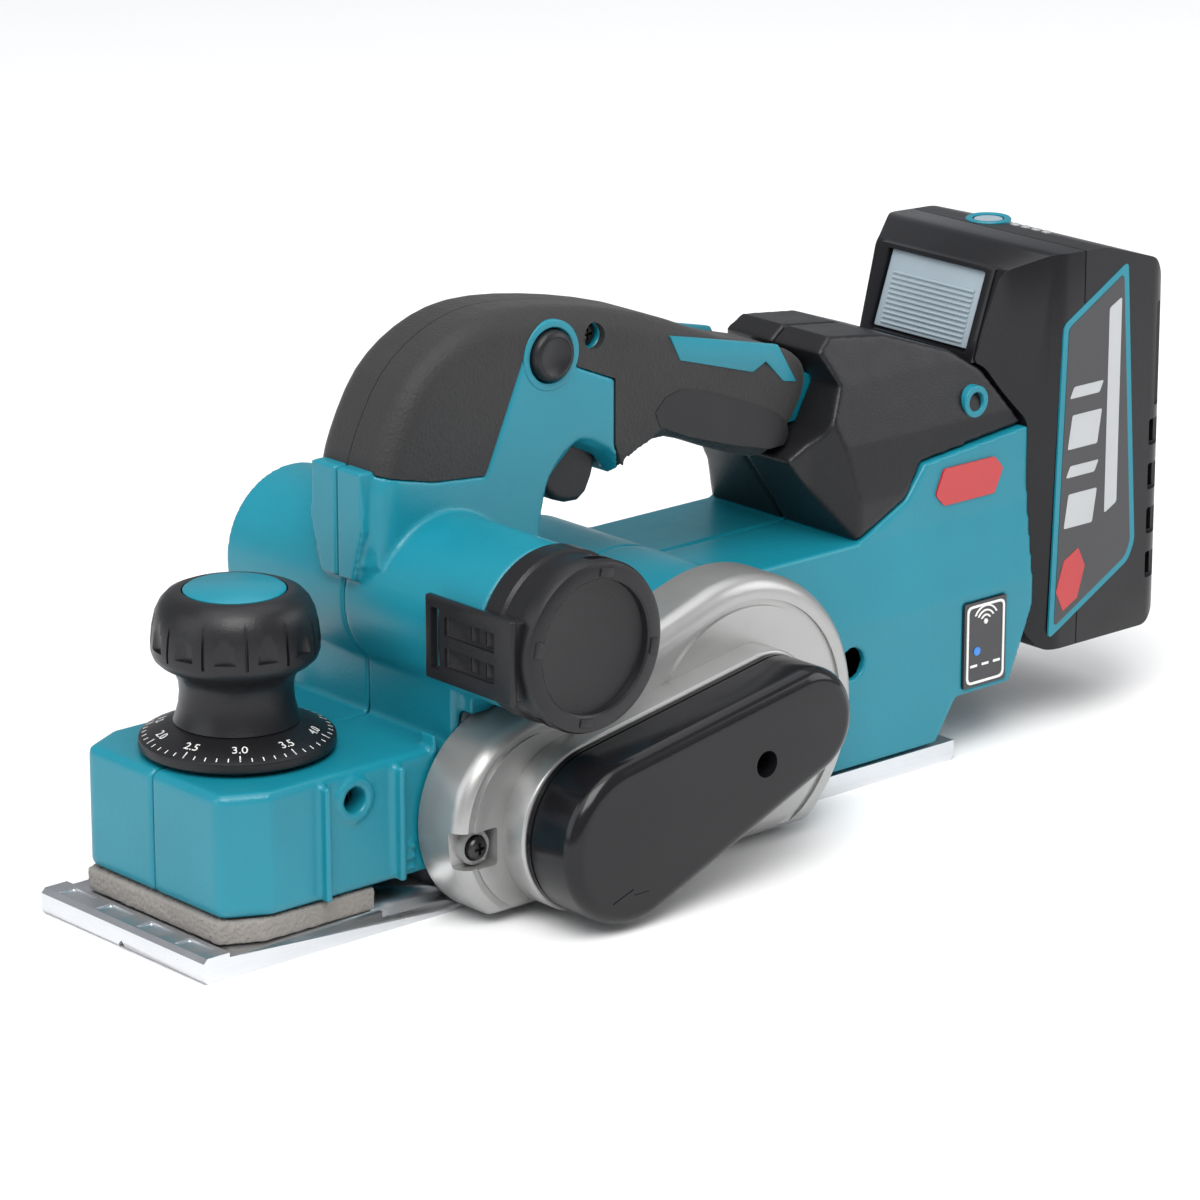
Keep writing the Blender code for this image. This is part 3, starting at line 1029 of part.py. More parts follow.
BATTERY_SIDE = [*from_corner(BATTERY_FRONT_X, BATTERY_LOW, (0, 7), (5.7, 0)),
                *from_corner(BATTERY_REAR_X, BATTERY_LOW, (-8, 0), (0, 8)),
                *from_corner(BATTERY_REAR_X, BATTERY_HIGH, (0, -19.5), (-7, -8.5), (-32, -1)),
                *from_corner(BATTERY_FRONT_X, BATTERY_HIGH, (6.7, 0), (-8.3, -5.5), (-18.8, -35.5),
                             (-14.3, -38), (0, -58))]
PLAN_SIDE = [*from_corner(BATTERY_FRONT_X, BATTERY_HALF, (-22.3, -15), (-7.3, -11), (9.7, 0)),
             *from_corner(BATTERY_REAR_X, BATTERY_HALF, (-5, 0), (1, -5))]
BATTERY_PLAN = [(x, -y) for x, y in PLAN_SIDE] + PLAN_SIDE[::-1]
SLOT_HALF = TERMINAL_HALF + 3.0 * MM
SLOT_DEEP = 9.5 * MM
SLOT_TOP = 100.0 * MM
RELEASE_LOW = BATTERY_HIGH - 32.5 * MM
RELEASE_HIGH = BATTERY_HIGH - 7.0 * MM
RELEASE_HALF = 23.0 * MM
GAUGE_X = BATTERY_REAR_X - 33.0 * MM
GAUGE_Y = 14.0 * MM
GAUGE_RADIUS = 5.0 * MM


def battery_blank(name, shrink):
    side = plate(f"{name}_side", inset(BATTERY_SIDE, shrink), "XZ", -FAR, FAR)
    return keep(side, plate(f"{name}_plan", inset(BATTERY_PLAN, shrink), "XY", -FAR, FAR))


def battery():
    outer = battery_blank("battery_outer", 0.0)
    room = battery_blank("battery_room", WALL)
    slot_wall = box("slot_wall", (BATTERY_FRONT_X + EPS, -SLOT_HALF - WALL, BATTERY_LOW + EPS),
                    (BATTERY_FRONT_X + SLOT_DEEP + WALL, SLOT_HALF + WALL, SLOT_TOP + WALL))
    slot = box("battery_slot", (0, -SLOT_HALF, -FAR), (BATTERY_FRONT_X + SLOT_DEEP, SLOT_HALF, SLOT_TOP))
    button_way = box("release_way", (0, -RELEASE_HALF - 2 * GAP, RELEASE_LOW - 2 * GAP),
                     (BATTERY_SPLIT_X - 12 * MM, RELEASE_HALF + 2 * GAP, RELEASE_HIGH + 2 * GAP))
    front = box("battery_case_front", (0, -FAR, -FAR), (BATTERY_SPLIT_X - GAP / 2, FAR, FAR), GLOSS)
    keep(front, outer)
    cut(front, cut(room, slot_wall), slot, button_way)
    rear = box("battery_case_rear", (BATTERY_SPLIT_X + GAP / 2, -FAR, -FAR), (FAR, FAR, FAR), BLACK)
    keep(rear, outer)
    rear_room = battery_blank("battery_rear_room", WALL)
    gauge_way = cylinder("gauge_way", (GAUGE_X, GAUGE_Y, BATTERY_HIGH - 12 * MM), "Z", 20 * MM,
                         GAUGE_RADIUS + 0.4 * MM, segments=24)
    cut(rear, rear_room, gauge_way)
    keep(box("battery_release", (0, -RELEASE_HALF, RELEASE_LOW),
             (BATTERY_SPLIT_X - 18 * MM, RELEASE_HALF, RELEASE_HIGH), GREY),
         plate("release_face", inset(BATTERY_SIDE, 1.0 * MM), "XZ", -FAR, FAR))
    gauge_low = BATTERY_HIGH - 7.0 * MM
    cylinder("gauge_button", (GAUGE_X, GAUGE_Y, gauge_low), "Z", 6.3 * MM, GAUGE_RADIUS, GREY, 24)


def battery_insides():
    low_z = BATTERY_LOW + WALL + CELL_RADIUS + EPS
    cell_x = BATTERY_REAR_X - WALL - CELL_RADIUS - 1.5 * MM
    pitch = 2 * CELL_RADIUS + 0.4 * MM
    half = BATTERY_HALF - WALL - 5.5 * MM
    cells = None
    for column in range(CELL_COLUMNS):
        for row in range(CELL_ROWS):
            x = cell_x - column * pitch
            z = low_z + row * pitch
            look = STEEL if cells is None else None
            name = "battery_cells" if cells is None else f"cell_{column}_{row}"
            cell = y_bar(name, x, z, -half, half, CELL_RADIUS, look, 8)
            cells = cell if cells is None else join(cells, cell)
    for side in (-1, 1):
        middle = side * half * 0.6
        holder = box(f"cell_holder_{side}",
                     (cell_x - (CELL_COLUMNS - 1) * pitch - 4 * MM, middle - 2 * MM, low_z - 4 * MM),
                     (cell_x + 4 * MM, middle + 2 * MM, low_z + (CELL_ROWS - 1) * pitch + 4 * MM))
        join(cells, holder)
    board_z = low_z + (CELL_ROWS - 0.5) * pitch + 3.0 * MM
    box("battery_board", (BATTERY_SPLIT_X - 6 * MM, -24 * MM, board_z),
        (BATTERY_REAR_X - 13 * MM, 24 * MM, board_z + 1.6 * MM), BOARD)


def electronics():
    box("terminal_block", (130 * MM, -TERMINAL_HALF, TERMINAL_LOW),
        (BATTERY_FRONT_X + SLOT_DEEP - EPS, TERMINAL_HALF, TERMINAL_HIGH), BLACK)
    controller = box("controller", (62 * MM, -24 * MM, 32 * MM), (118 * MM, 24 * MM, 48 * MM), DARK_STEEL)
    soften(controller, 2.0 * MM, segments=1)
    upper = handle_points((-10, 152), (14, 143), (38, 130.5), (66, 130), (77, 124), (77, 84))
    lower = mm_points((78, 62), (80, 48.8))
    tube("switch_leads", [Vector((x, 0, z)) for x, z in upper + lower], 2.0 * MM, RUBBER, resolution=2)


# ---------------------------------------------------------------- rear foot
def rear_foot():
    low_y = FOOT_MIDDLE_Y - FOOT_WIDTH / 2 + GAP
    high_y = FOOT_MIDDLE_Y + FOOT_WIDTH / 2 - GAP
    tip = (FOOT_X + 19.0 * MM, 3.6 * MM + SOLE_CLEAR)
    outline = hull(arc(FOOT_X, FOOT_Z, 4.5 * MM, 20) + arc(tip[0], tip[1], 3.5 * MM, 16))
    foot = plate("rear_foot", outline, "XZ", low_y, high_y, BLACK)
    foot.data.transform(Matrix.Translation((-FOOT_X, 0, -FOOT_Z)))
    foot.location = (FOOT_X, 0, FOOT_Z)
    cut(foot, y_bar("foot_bore", FOOT_X, FOOT_Z, -FAR, FAR, FOOT_PIN_RADIUS + GAP, segments=14))
    y_bar("foot_pin", FOOT_X, FOOT_Z, FOOT_MIDDLE_Y - FOOT_WIDTH / 2 - 3 * MM,
          FOOT_MIDDLE_Y + FOOT_WIDTH / 2 + 3 * MM, FOOT_PIN_RADIUS, STEEL, 14)


# ---------------------------------------------------------------- assembly
front_base()
rear_base()
base_seal()
drum_frame()
cutter_drum()
drum_drive()
motor()
cooling_fan()
belt_casting()
belt_cover()
drive_belt()
chip_cap()
housings()
grips()
rear_covers()
handle_screws()
trigger_group()
lock_off_button()
switch_unit()
knob()
battery()
battery_insides()
electronics()
rear_foot()
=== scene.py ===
# %% [markdown]
# # A cordless hand planer
# The working solids come from the frame: soles, drum, housing halves, handle, knob and battery.
# This notebook gives them their finished surfaces.  Flat milled and turned pieces keep their solids
# and get a finish.  Moulded pieces are made again from their solids, with soft edges and fine detail.

# %% Load the frame
import json
import math

import bmesh
import bpy
from mathutils import Matrix, Vector, noise

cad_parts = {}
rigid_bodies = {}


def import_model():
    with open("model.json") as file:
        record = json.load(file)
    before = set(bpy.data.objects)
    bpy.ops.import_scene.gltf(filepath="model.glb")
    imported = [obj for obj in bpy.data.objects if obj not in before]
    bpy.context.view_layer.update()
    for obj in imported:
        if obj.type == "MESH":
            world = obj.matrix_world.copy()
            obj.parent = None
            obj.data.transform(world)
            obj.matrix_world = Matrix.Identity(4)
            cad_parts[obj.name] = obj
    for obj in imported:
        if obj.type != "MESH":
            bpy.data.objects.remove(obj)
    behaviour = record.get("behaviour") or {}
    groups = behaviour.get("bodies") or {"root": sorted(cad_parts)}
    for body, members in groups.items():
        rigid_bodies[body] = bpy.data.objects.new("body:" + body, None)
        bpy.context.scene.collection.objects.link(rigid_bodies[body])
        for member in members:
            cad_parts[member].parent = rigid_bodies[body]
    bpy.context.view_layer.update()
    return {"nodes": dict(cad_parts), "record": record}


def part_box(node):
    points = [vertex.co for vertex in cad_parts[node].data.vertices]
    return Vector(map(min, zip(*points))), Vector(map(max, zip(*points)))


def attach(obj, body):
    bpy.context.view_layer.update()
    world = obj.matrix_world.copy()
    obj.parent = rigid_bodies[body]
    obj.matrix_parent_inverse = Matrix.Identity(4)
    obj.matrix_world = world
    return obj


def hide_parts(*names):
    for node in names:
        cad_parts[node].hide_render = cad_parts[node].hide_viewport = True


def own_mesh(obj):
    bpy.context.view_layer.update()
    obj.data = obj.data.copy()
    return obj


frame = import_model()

MM = 0.001

# %% [markdown]
# ## The camera, the floor and the light
# A long lens from well back keeps the tool's proportions true, with little perspective.  The floor is
# plain and pale.  Four large soft lamps and a wide sun light the tool: wide lamps make the long, soft
# highlights that show how a moulded surface curves.

# %% Camera
EYE = Vector((-1.14836, -1.27667, 0.60213))
AZIMUTH = math.radians(-41.41)
ELEVATION = math.radians(17.277)
LENS = 162.67
SENSOR = 36.0


def new_object(name, data):
    """An object in the scene, at the origin."""
    made = bpy.data.objects.new(name, data)
    bpy.context.scene.collection.objects.link(made)
    return made


looking_back = Vector((math.sin(AZIMUTH) * math.cos(ELEVATION), -math.cos(AZIMUTH) * math.cos(ELEVATION),
                       math.sin(ELEVATION)))
lens = bpy.data.cameras.new("camera")
lens.lens = LENS
lens.sensor_width = SENSOR
lens.clip_end = 20.0
camera = new_object("camera", lens)
camera.location = EYE
camera.rotation_euler = looking_back.to_track_quat("Z", "Y").to_euler()
bpy.context.scene.camera = camera

# %% Floor and lamps
FLOOR_HALF = 6.0


def mesh_from(name, bm):
    mesh = bpy.data.meshes.new(name)
    bm.to_mesh(mesh)
    bm.free()
    return mesh


def bmesh_of(mesh):
    bm = bmesh.new()
    bm.from_mesh(mesh)
    return bm


def plain_material(name, color, roughness):
    made = bpy.data.materials.new(name)
    made.use_nodes = True
    shader = made.node_tree.nodes["Principled BSDF"]
    shader.inputs["Base Color"].default_value = (*color, 1)
    shader.inputs["Roughness"].default_value = roughness
    return made


sheet = bmesh.new()
bmesh.ops.create_grid(sheet, x_segments=1, y_segments=1, size=FLOOR_HALF)
floor = new_object("floor", mesh_from("floor", sheet))
floor.data.materials.append(plain_material("pale_floor", (0.86, 0.86, 0.86), 0.7))

LAMPS = (
    # name, place, size, power, colour
    ("key", (-0.9, -1.1, 1.7), 1.3, 34.0, (1.0, 0.99, 0.97)),
    ("fill", (-1.9, 0.5, 0.9), 1.4, 11.0, (0.96, 0.98, 1.0)),
    ("top", (0.3, 0.1, 1.9), 1.8, 12.0, (1.0, 1.0, 1.0)),
    ("edge", (1.3, -1.0, 0.8), 1.0, 9.0, (1.0, 1.0, 1.0)),
)
TARGET = Vector((-0.02, 0, 0.07))
for name, place, size, power, color in LAMPS:
    lamp = bpy.data.lights.new(name, "AREA")
    lamp.size = size
    lamp.energy = power
    lamp.color = color
    stand = new_object(name, lamp)
    stand.location = place
    stand.rotation_euler = (Vector(place) - TARGET).to_track_quat("Z", "Y").to_euler()

sky = bpy.data.lights.new("sky", "SUN")
sky.energy = 1.5
sky.angle = math.radians(60)
new_object("sky", sky).rotation_euler = (math.radians(12), math.radians(-22), 0)

world = bpy.data.worlds.new("studio")
world.use_nodes = True
background = world.node_tree.nodes["Background"]
background.inputs["Color"].default_value = (0.93, 0.95, 1.0, 1)
background.inputs["Strength"].default_value = 0.36
bpy.context.scene.world = world
bpy.context.scene.view_settings.view_transform = "Standard"
print("lamps:", len(LAMPS))

# %% [markdown]
# ## Surface effects that several finishes share
# Moulded plastic is never one flat colour.  It has a fine grain from the mould, slow changes in gloss,
# and hairline scratches.  Each effect is a node group with named inputs, so that every finish uses
# the same effect with its own values.


# %% Effect groups
def effect_group(name, inputs, outputs):
    tree = bpy.data.node_groups.new(name, "ShaderNodeTree")
    for label, value in inputs.items():
        socket = tree.interface.new_socket(label, in_out="INPUT", socket_type="NodeSocketFloat")
        socket.default_value = value
    tree.interface.new_socket("Vector", in_out="INPUT", socket_type="NodeSocketVector")
    for label in outputs:
        tree.interface.new_socket(label, in_out="OUTPUT", socket_type="NodeSocketFloat")
    return tree, tree.nodes.new("NodeGroupInput"), tree.nodes.new("NodeGroupOutput")


def feed(tree, value, socket):
    """Sets a socket to a number, or links it to another node's output."""
    if isinstance(value, (int, float)):
        socket.default_value = value
    else:
        tree.links.new(value, socket)


def math_node(tree, operation, first, second):
    node = tree.nodes.new("ShaderNodeMath")
    node.operation = operation
    feed(tree, first, node.inputs[0])
    feed(tree, second, node.inputs[1])
    return node.outputs[0]


def noise_node(tree, vector, scale, detail=3.0, roughness=0.55):
    node = tree.nodes.new("ShaderNodeTexNoise")
    node.inputs["Detail"].default_value = detail
    node.inputs["Roughness"].default_value = roughness
    feed(tree, vector, node.inputs["Vector"])
    feed(tree, scale, node.inputs["Scale"])
    return node.outputs["Fac"]


def grain_group():
    """A pebbled mould texture: small rounded cells, broken up by noise."""
    tree, given, out = effect_group("mould_grain", {"Scale": 1500.0, "Depth": 1.0}, ("Height",))
    cells = tree.nodes.new("ShaderNodeTexVoronoi")
    cells.feature = "SMOOTH_F1"
    cells.inputs["Smoothness"].default_value = 0.7
    tree.links.new(given.outputs["Vector"], cells.inputs["Vector"])
    tree.links.new(given.outputs["Scale"], cells.inputs["Scale"])
    fine = noise_node(tree, given.outputs["Vector"], given.outputs["Scale"], 2.0)
    mixed = math_node(tree, "ADD", cells.outputs["Distance"], fine)
    tree.links.new(math_node(tree, "MULTIPLY", mixed, given.outputs["Depth"]), out.inputs["Height"])
    return tree


def patina_group():
    """Slow changes: where hands polish a surface and where dust dulls it."""
    tree, given, out = effect_group("patina", {"Scale": 18.0, "Amount": 1.0}, ("Shade", "Dull"))
    slow = noise_node(tree, given.outputs["Vector"], given.outputs["Scale"], 4.0)
    centred = math_node(tree, "SUBTRACT", slow, 0.5)
    tree.links.new(math_node(tree, "MULTIPLY", centred, given.outputs["Amount"]), out.inputs["Shade"])
    fine = noise_node(tree, given.outputs["Vector"], math_node(tree, "MULTIPLY", given.outputs["Scale"], 7.0))
    spots = math_node(tree, "SUBTRACT", fine, 0.5)
    tree.links.new(math_node(tree, "MULTIPLY", spots, given.outputs["Amount"]), out.inputs["Dull"])
    return tree


def scratch_group():
    """Fine lines along one direction, as a mill or a belt leaves them."""
    tree, given, out = effect_group("tool_marks", {"Pitch": 900.0, "Depth": 1.0}, ("Height", "Shade"))
    stretch = tree.nodes.new("ShaderNodeMapping")
    stretch.inputs["Scale"].default_value = (0.02, 1.0, 1.0)
    tree.links.new(given.outputs["Vector"], stretch.inputs["Vector"])
    lines = noise_node(tree, stretch.outputs["Vector"], given.outputs["Pitch"], 4.0, 0.7)
    tree.links.new(math_node(tree, "MULTIPLY", lines, given.outputs["Depth"]), out.inputs["Height"])
    tree.links.new(math_node(tree, "SUBTRACT", lines, 0.5), out.inputs["Shade"])
    return tree


GRAIN = grain_group()
PATINA = patina_group()
MARKS = scratch_group()
print("effects:", [g.name for g in (GRAIN, PATINA, MARKS)])

# %% [markdown]
# ## Finishes
# A finish is one Principled shader.  Its plain values sit on the shader's own sockets.  Only what
# changes over the surface arrives through nodes: colour, roughness and the bump.


# %% Finish builder
def place_group(tree, group, vector, values):
    node = tree.nodes.new("ShaderNodeGroup")
    node.node_tree = group
    tree.links.new(vector, node.inputs["Vector"])
    for label, value in values.items():
        node.inputs[label].default_value = value
    return node


def shaded_color(tree, color, shade, contrast):
    """A colour that gets a little lighter and darker with a mask that runs either side of zero."""
    light = [min(1.0, c * (1 + contrast) + 0.004) for c in color]
    dark = [c * (1 - contrast) for c in color]
    mix = tree.nodes.new("ShaderNodeMix")
    mix.data_type = "RGBA"
    mix.inputs[6].default_value = (*dark, 1)
    mix.inputs[7].default_value = (*light, 1)
    tree.links.new(math_node(tree, "ADD", shade, 0.5), mix.inputs[0])
    return mix.outputs[2]


def finish(name, color, roughness, metallic, grain=1500.0, relief=0.02, contrast=0.12, coat=0.0,
           marks=0.0, spread=0.12, sheen=0.0, mirror=0.5):
    made = bpy.data.materials.new(name)
    made.use_nodes = True
    tree = made.node_tree
    shader = tree.nodes["Principled BSDF"]
    for label, value in (("Metallic", metallic), ("Coat Weight", coat), ("Sheen Weight", sheen),
                         ("Specular IOR Level", mirror)):
        shader.inputs[label].default_value = value
    place = tree.nodes.new("ShaderNodeTexCoord").outputs["Object"]
    patina = place_group(tree, PATINA, place, {"Scale": 22.0, "Amount": 1.0})
    shade = patina.outputs["Shade"]
    if marks:
        tool = place_group(tree, MARKS, place, {"Pitch": 1400.0, "Depth": marks})
        height = tool.outputs["Height"]
        shade = math_node(tree, "ADD", shade, tool.outputs["Shade"])
    else:
        height = place_group(tree, GRAIN, place, {"Scale": grain, "Depth": 1.0}).outputs["Height"]
    tree.links.new(shaded_color(tree, color, shade, contrast), shader.inputs["Base Color"])
    dull = math_node(tree, "MULTIPLY", patina.outputs["Dull"], spread)
    tree.links.new(math_node(tree, "ADD", dull, roughness), shader.inputs["Roughness"])
    bump = tree.nodes.new("ShaderNodeBump")
    bump.inputs["Distance"].default_value = relief * MM
    tree.links.new(height, bump.inputs["Height"])
    tree.links.new(bump.outputs["Normal"], shader.inputs["Normal"])
    return made


RECIPES = (
    # name, colour, roughness, metallic, the rest
    ("teal_plastic", (0.004, 0.185, 0.250), 0.34, 0.0, dict(relief=0.035, grain=1300, mirror=0.42)),
    ("black_plastic", (0.009, 0.009, 0.0105), 0.36, 0.0, dict(relief=0.03, contrast=0.25, mirror=0.30)),
    ("gloss_black_plastic", (0.006, 0.006, 0.0075), 0.17, 0.0,
     dict(relief=0.004, contrast=0.2, spread=0.06, mirror=0.30)),
    ("grip_elastomer", (0.0165, 0.016, 0.0165), 0.62, 0.0,
     dict(grain=900, relief=0.16, contrast=0.3, sheen=0.08, mirror=0.35)),
    ("painted_casting", (0.37, 0.37, 0.365), 0.33, 0.65, dict(grain=2200, relief=0.02)),
    ("black_casting", (0.04, 0.04, 0.04), 0.45, 0.6, dict(grain=2200)),
    ("machined_aluminium", (0.66, 0.67, 0.69), 0.30, 1.0, dict(relief=0.03, marks=1.0, contrast=0.10)),
    ("bright_steel", (0.58, 0.58, 0.59), 0.26, 1.0, dict(relief=0.01, marks=0.6)),
    ("black_steel", (0.05, 0.05, 0.05), 0.34, 0.9, dict(grain=2500, relief=0.01)),
    ("copper_winding", (0.60, 0.26, 0.10), 0.35, 0.9, dict(marks=1.0, relief=0.1)),
    ("cell_can", (0.5, 0.52, 0.55), 0.32, 0.8, dict(marks=0.5)),
    ("foam", (0.20, 0.185, 0.17), 0.95, 0.0, dict(grain=700, relief=0.5, contrast=0.35, sheen=0.2)),
    ("belt_rubber", (0.018, 0.018, 0.018), 0.62, 0.0, dict(relief=0.05)),
    ("circuit_board", (0.015, 0.12, 0.045), 0.4, 0.0, dict(relief=0.05)),
    ("grey_plastic", (0.27, 0.33, 0.37), 0.34, 0.0, dict(relief=0.02)),
    ("panel_film", (0.020, 0.020, 0.023), 0.32, 0.0, dict(relief=0.005, coat=0.2)),
    ("print_white", (0.72, 0.72, 0.70), 0.45, 0.0, dict(relief=0.005)),
    ("print_silver", (0.42, 0.43, 0.44), 0.35, 0.3, dict(relief=0.005)),
    ("badge_red", (0.42, 0.012, 0.016), 0.3, 0.0, dict(relief=0.005, coat=0.3)),
    ("mark_blue", (0.03, 0.20, 0.62), 0.3, 0.0, dict(relief=0.005)),
)
FINISHES = {name: finish(name, *values, **extra) for name, *values, extra in RECIPES}
for row in frame["record"]["subparts"]:
    solid = bpy.data.objects[row["node"]]
    solid.data.materials.clear()
    solid.data.materials.append(FINISHES[row["material_slot"]])
print("finishes:", len(FINISHES))

# %% [markdown]
# ## Tools for moulded pieces
# A moulding has no sharp edge anywhere.  Here its solids are put together, melted into one skin on a
# fine grid, and relaxed a little, which rounds every edge and fills every inside corner, as a mould
# does.  Grooves and holes are cut before that step, so their edges come out soft as well.


# %% Solids
TURNS = {"Z": Matrix.Identity(4), "X": Matrix.Rotation(math.pi / 2, 4, "Y"),
         "Y": Matrix.Rotation(-math.pi / 2, 4, "X")}


def points(*pairs):
    return [(u * MM, v * MM) for u, v in pairs]


def joined(*solids):
    """Several closed bmeshes in one."""
    together = bmesh.new()
    for solid in solids:
        mesh = mesh_from("part", solid)
        together.from_mesh(mesh)
        bpy.data.meshes.remove(mesh)
    return together


def block(low, high, bevel=0.0):
    """A box between two corners in millimetres, with its edges rounded if bevel is given."""
    low, high = Vector(low) * MM, Vector(high) * MM
    bm = bmesh.new()
    bmesh.ops.create_cube(bm, size=1.0)
    bmesh.ops.scale(bm, vec=high - low, verts=bm.verts)
    bmesh.ops.translate(bm, vec=(low + high) / 2, verts=bm.verts)
    if bevel:
        bmesh.ops.bevel(bm, geom=bm.edges, offset=bevel * MM, segments=3, profile=0.5, affect="EDGES")
    return bm


def rod(start, axis, length, radius, sides=64, tip=None):
    """A round bar in millimetres from a start point along +X, +Y or +Z."""
    bm = bmesh.new()
    bmesh.ops.create_cone(bm, cap_ends=True, segments=sides, radius1=radius * MM,
                          radius2=(radius if tip is None else tip) * MM, depth=length * MM)
    bmesh.ops.translate(bm, vec=(0, 0, length * MM / 2), verts=bm.verts)
    bmesh.ops.transform(bm, matrix=TURNS[axis], verts=bm.verts)
    bmesh.ops.translate(bm, vec=Vector(start) * MM, verts=bm.verts)
    return bm


LAY = {"X": lambda u, v, h: (h, u, v), "Y": lambda u, v, h: (u, h, v), "Z": lambda u, v, h: (u, v, h)}


def slab(outline, low, high, axis="Y"):
    """A flat outline in metres, given thickness along an axis between two heights in millimetres."""
    bm = bmesh.new()
    face = bm.faces.new([bm.verts.new(LAY[axis](u, v, low * MM)) for u, v in outline])
    grown = bmesh.ops.extrude_face_region(bm, geom=[face])["geom"]
    bmesh.ops.translate(bm, vec=LAY[axis](0, 0, (high - low) * MM),
                        verts=[v for v in grown if isinstance(v, bmesh.types.BMVert)])
    bmesh.ops.recalc_face_normals(bm, faces=bm.faces)
    return bm


def turned(profile, centre, axis="Z", steps=96):
    """A closed profile of (radius, height) in millimetres, spun round an axis."""
    bm = bmesh.new()
    rings = []
    for i in range(steps):
        angle = 2 * math.pi * i / steps
        rings.append([bm.verts.new((r * MM * math.cos(angle), r * MM * math.sin(angle), h * MM))
                      for r, h in profile])
    count = len(profile)
    for i in range(steps):
        first, second = rings[i], rings[(i + 1) % steps]
        for j in range(count):
            k = (j + 1) % count
            bm.faces.new((first[j], second[j], second[k], first[k]))
    bmesh.ops.remove_doubles(bm, verts=bm.verts, dist=1e-7)
    bmesh.ops.dissolve_degenerate(bm, edges=bm.edges, dist=1e-8)
    bmesh.ops.recalc_face_normals(bm, faces=bm.faces)
    bmesh.ops.transform(bm, matrix=TURNS[axis], verts=bm.verts)
    bmesh.ops.translate(bm, vec=Vector(centre) * MM, verts=bm.verts)
    return bm


def flowing(corners, steps=4):
    """A smooth closed curve through a few points."""
    curve = []
    count = len(corners)
    for i in range(count):
        before, here, after, later = (Vector(corners[(i + k) % count]) for k in (-1, 0, 1, 2))
        for s in range(steps):
            t = s / steps
            spot = (2 * here + (after - before) * t + (2 * before - 5 * here + 4 * after - later) * t * t
                    + (3 * here - before - 3 * after + later) * t ** 3) / 2
            curve.append(tuple(spot))
    return curve


def inset(outline, distance):
    """Moves each side of a counter-clockwise outline inwards by a distance in millimetres."""
    moved = []
    count = len(outline)
    for i in range(count):
        before, here, after = (Vector(outline[(i + k) % count]) for k in (-1, 0, 1))
        first, second = (here - before).normalized(), (after - here).normalized()
        normal_a, normal_b = Vector((-first.y, first.x)), Vector((-second.y, second.x))
        bisector = (normal_a + normal_b).normalized()
        moved.append(tuple(here + bisector * distance * MM / max(0.4, bisector.dot(normal_a))))
    return moved


def lofted(rings):
    """A closed solid through rings of points, capped at both ends."""
    bm = bmesh.new()
    rings = [[bm.verts.new(spot) for spot in ring] for ring in rings]
    count = len(rings[0])
    for lower, upper in zip(rings, rings[1:]):
        for i in range(count):
            j = (i + 1) % count
            bm.faces.new((lower[i], lower[j], upper[j], upper[i]))
    bm.faces.new(rings[0])
    bm.faces.new(rings[-1])
    bmesh.ops.recalc_face_normals(bm, faces=bm.faces)
    return bm


def rounded_edge(rounding, steps):
    """A quarter circle in steps: how far in from the outline, and how far back from the face."""
    angles = [math.pi / 2 * i / steps for i in range(steps + 1)]
    return [(rounding * (1 - math.cos(angle)), rounding * (1 - math.sin(angle))) for angle in angles]


def solid_copy(node):
    """A merged copy of a working solid, ready to be carved."""
    bm = bmesh_of(frame["nodes"][node].data)
    bmesh.ops.remove_doubles(bm, verts=bm.verts, dist=1e-6)
    return bm


# %% Shapes that come back often
def between(side, inner, outer):
    """Two distances from the middle plane as Y values on one side, the lower first."""
    return sorted((side * inner, side * outer))


def tube(outer, inner, low, high, x, z, steps=96):
    """A ring along Y, from one height to another."""
    return turned([(outer, high), (outer, low), (inner, low), (inner, high)], (x, 0, z), "Y", steps)


def bore(x, z, radius):
    """A rod along Y that is long enough to cut right through."""
    return rod((x, -200, z), "Y", 400, radius)


def plate(outline, face, side, under, over):
    """A thin slab that starts under a side face and stands a little over it."""
    return slab(outline, *sorted((face - side * under, face + side * over)))


# %% Carve, melt and place
def evaluated(made):
    """The mesh that an object's modifiers give; the object itself is removed."""
    depsgraph = bpy.context.evaluated_depsgraph_get()
    mesh = bpy.data.meshes.new_from_object(made.evaluated_get(depsgraph))
    bpy.data.objects.remove(made)
    return mesh


def carve(base, cutters, operation="DIFFERENCE"):
    """Cuts each closed bmesh out of the base, and returns a bmesh."""
    target = new_object("carving", mesh_from("carving", base))
    tools = []
    for cutter in cutters:
        tool = new_object("cutter", mesh_from("cutter", cutter))
        modifier = target.modifiers.new("cut", "BOOLEAN")
        modifier.operation = operation
        modifier.solver = "EXACT"
        modifier.object = tool
        tools.append(tool)
    mesh = evaluated(target)
    for tool in tools:
        bpy.data.objects.remove(tool)
    return bmesh_of(mesh)


def melt(solid, voxel, rounds, faces=None):
    """One soft skin over a set of closed solids: grid size in millimetres, relaxing rounds, face budget."""
    made = new_object("melting", mesh_from("melting", solid))
    remesh = made.modifiers.new("grid", "REMESH")
    remesh.mode = "VOXEL"
    remesh.voxel_size = voxel * MM
    remesh.use_smooth_shade = True
    relax = made.modifiers.new("relax", "SMOOTH")
    relax.factor = 0.5
    relax.iterations = rounds
    mesh = evaluated(made)
    if faces and len(mesh.polygons) * 2 > faces:
        made = new_object("thinning", mesh)
        thin = made.modifiers.new("thin", "DECIMATE")
        thin.ratio = faces / (len(mesh.polygons) * 2)
        mesh = evaluated(made)
    mesh.shade_smooth()
    return mesh


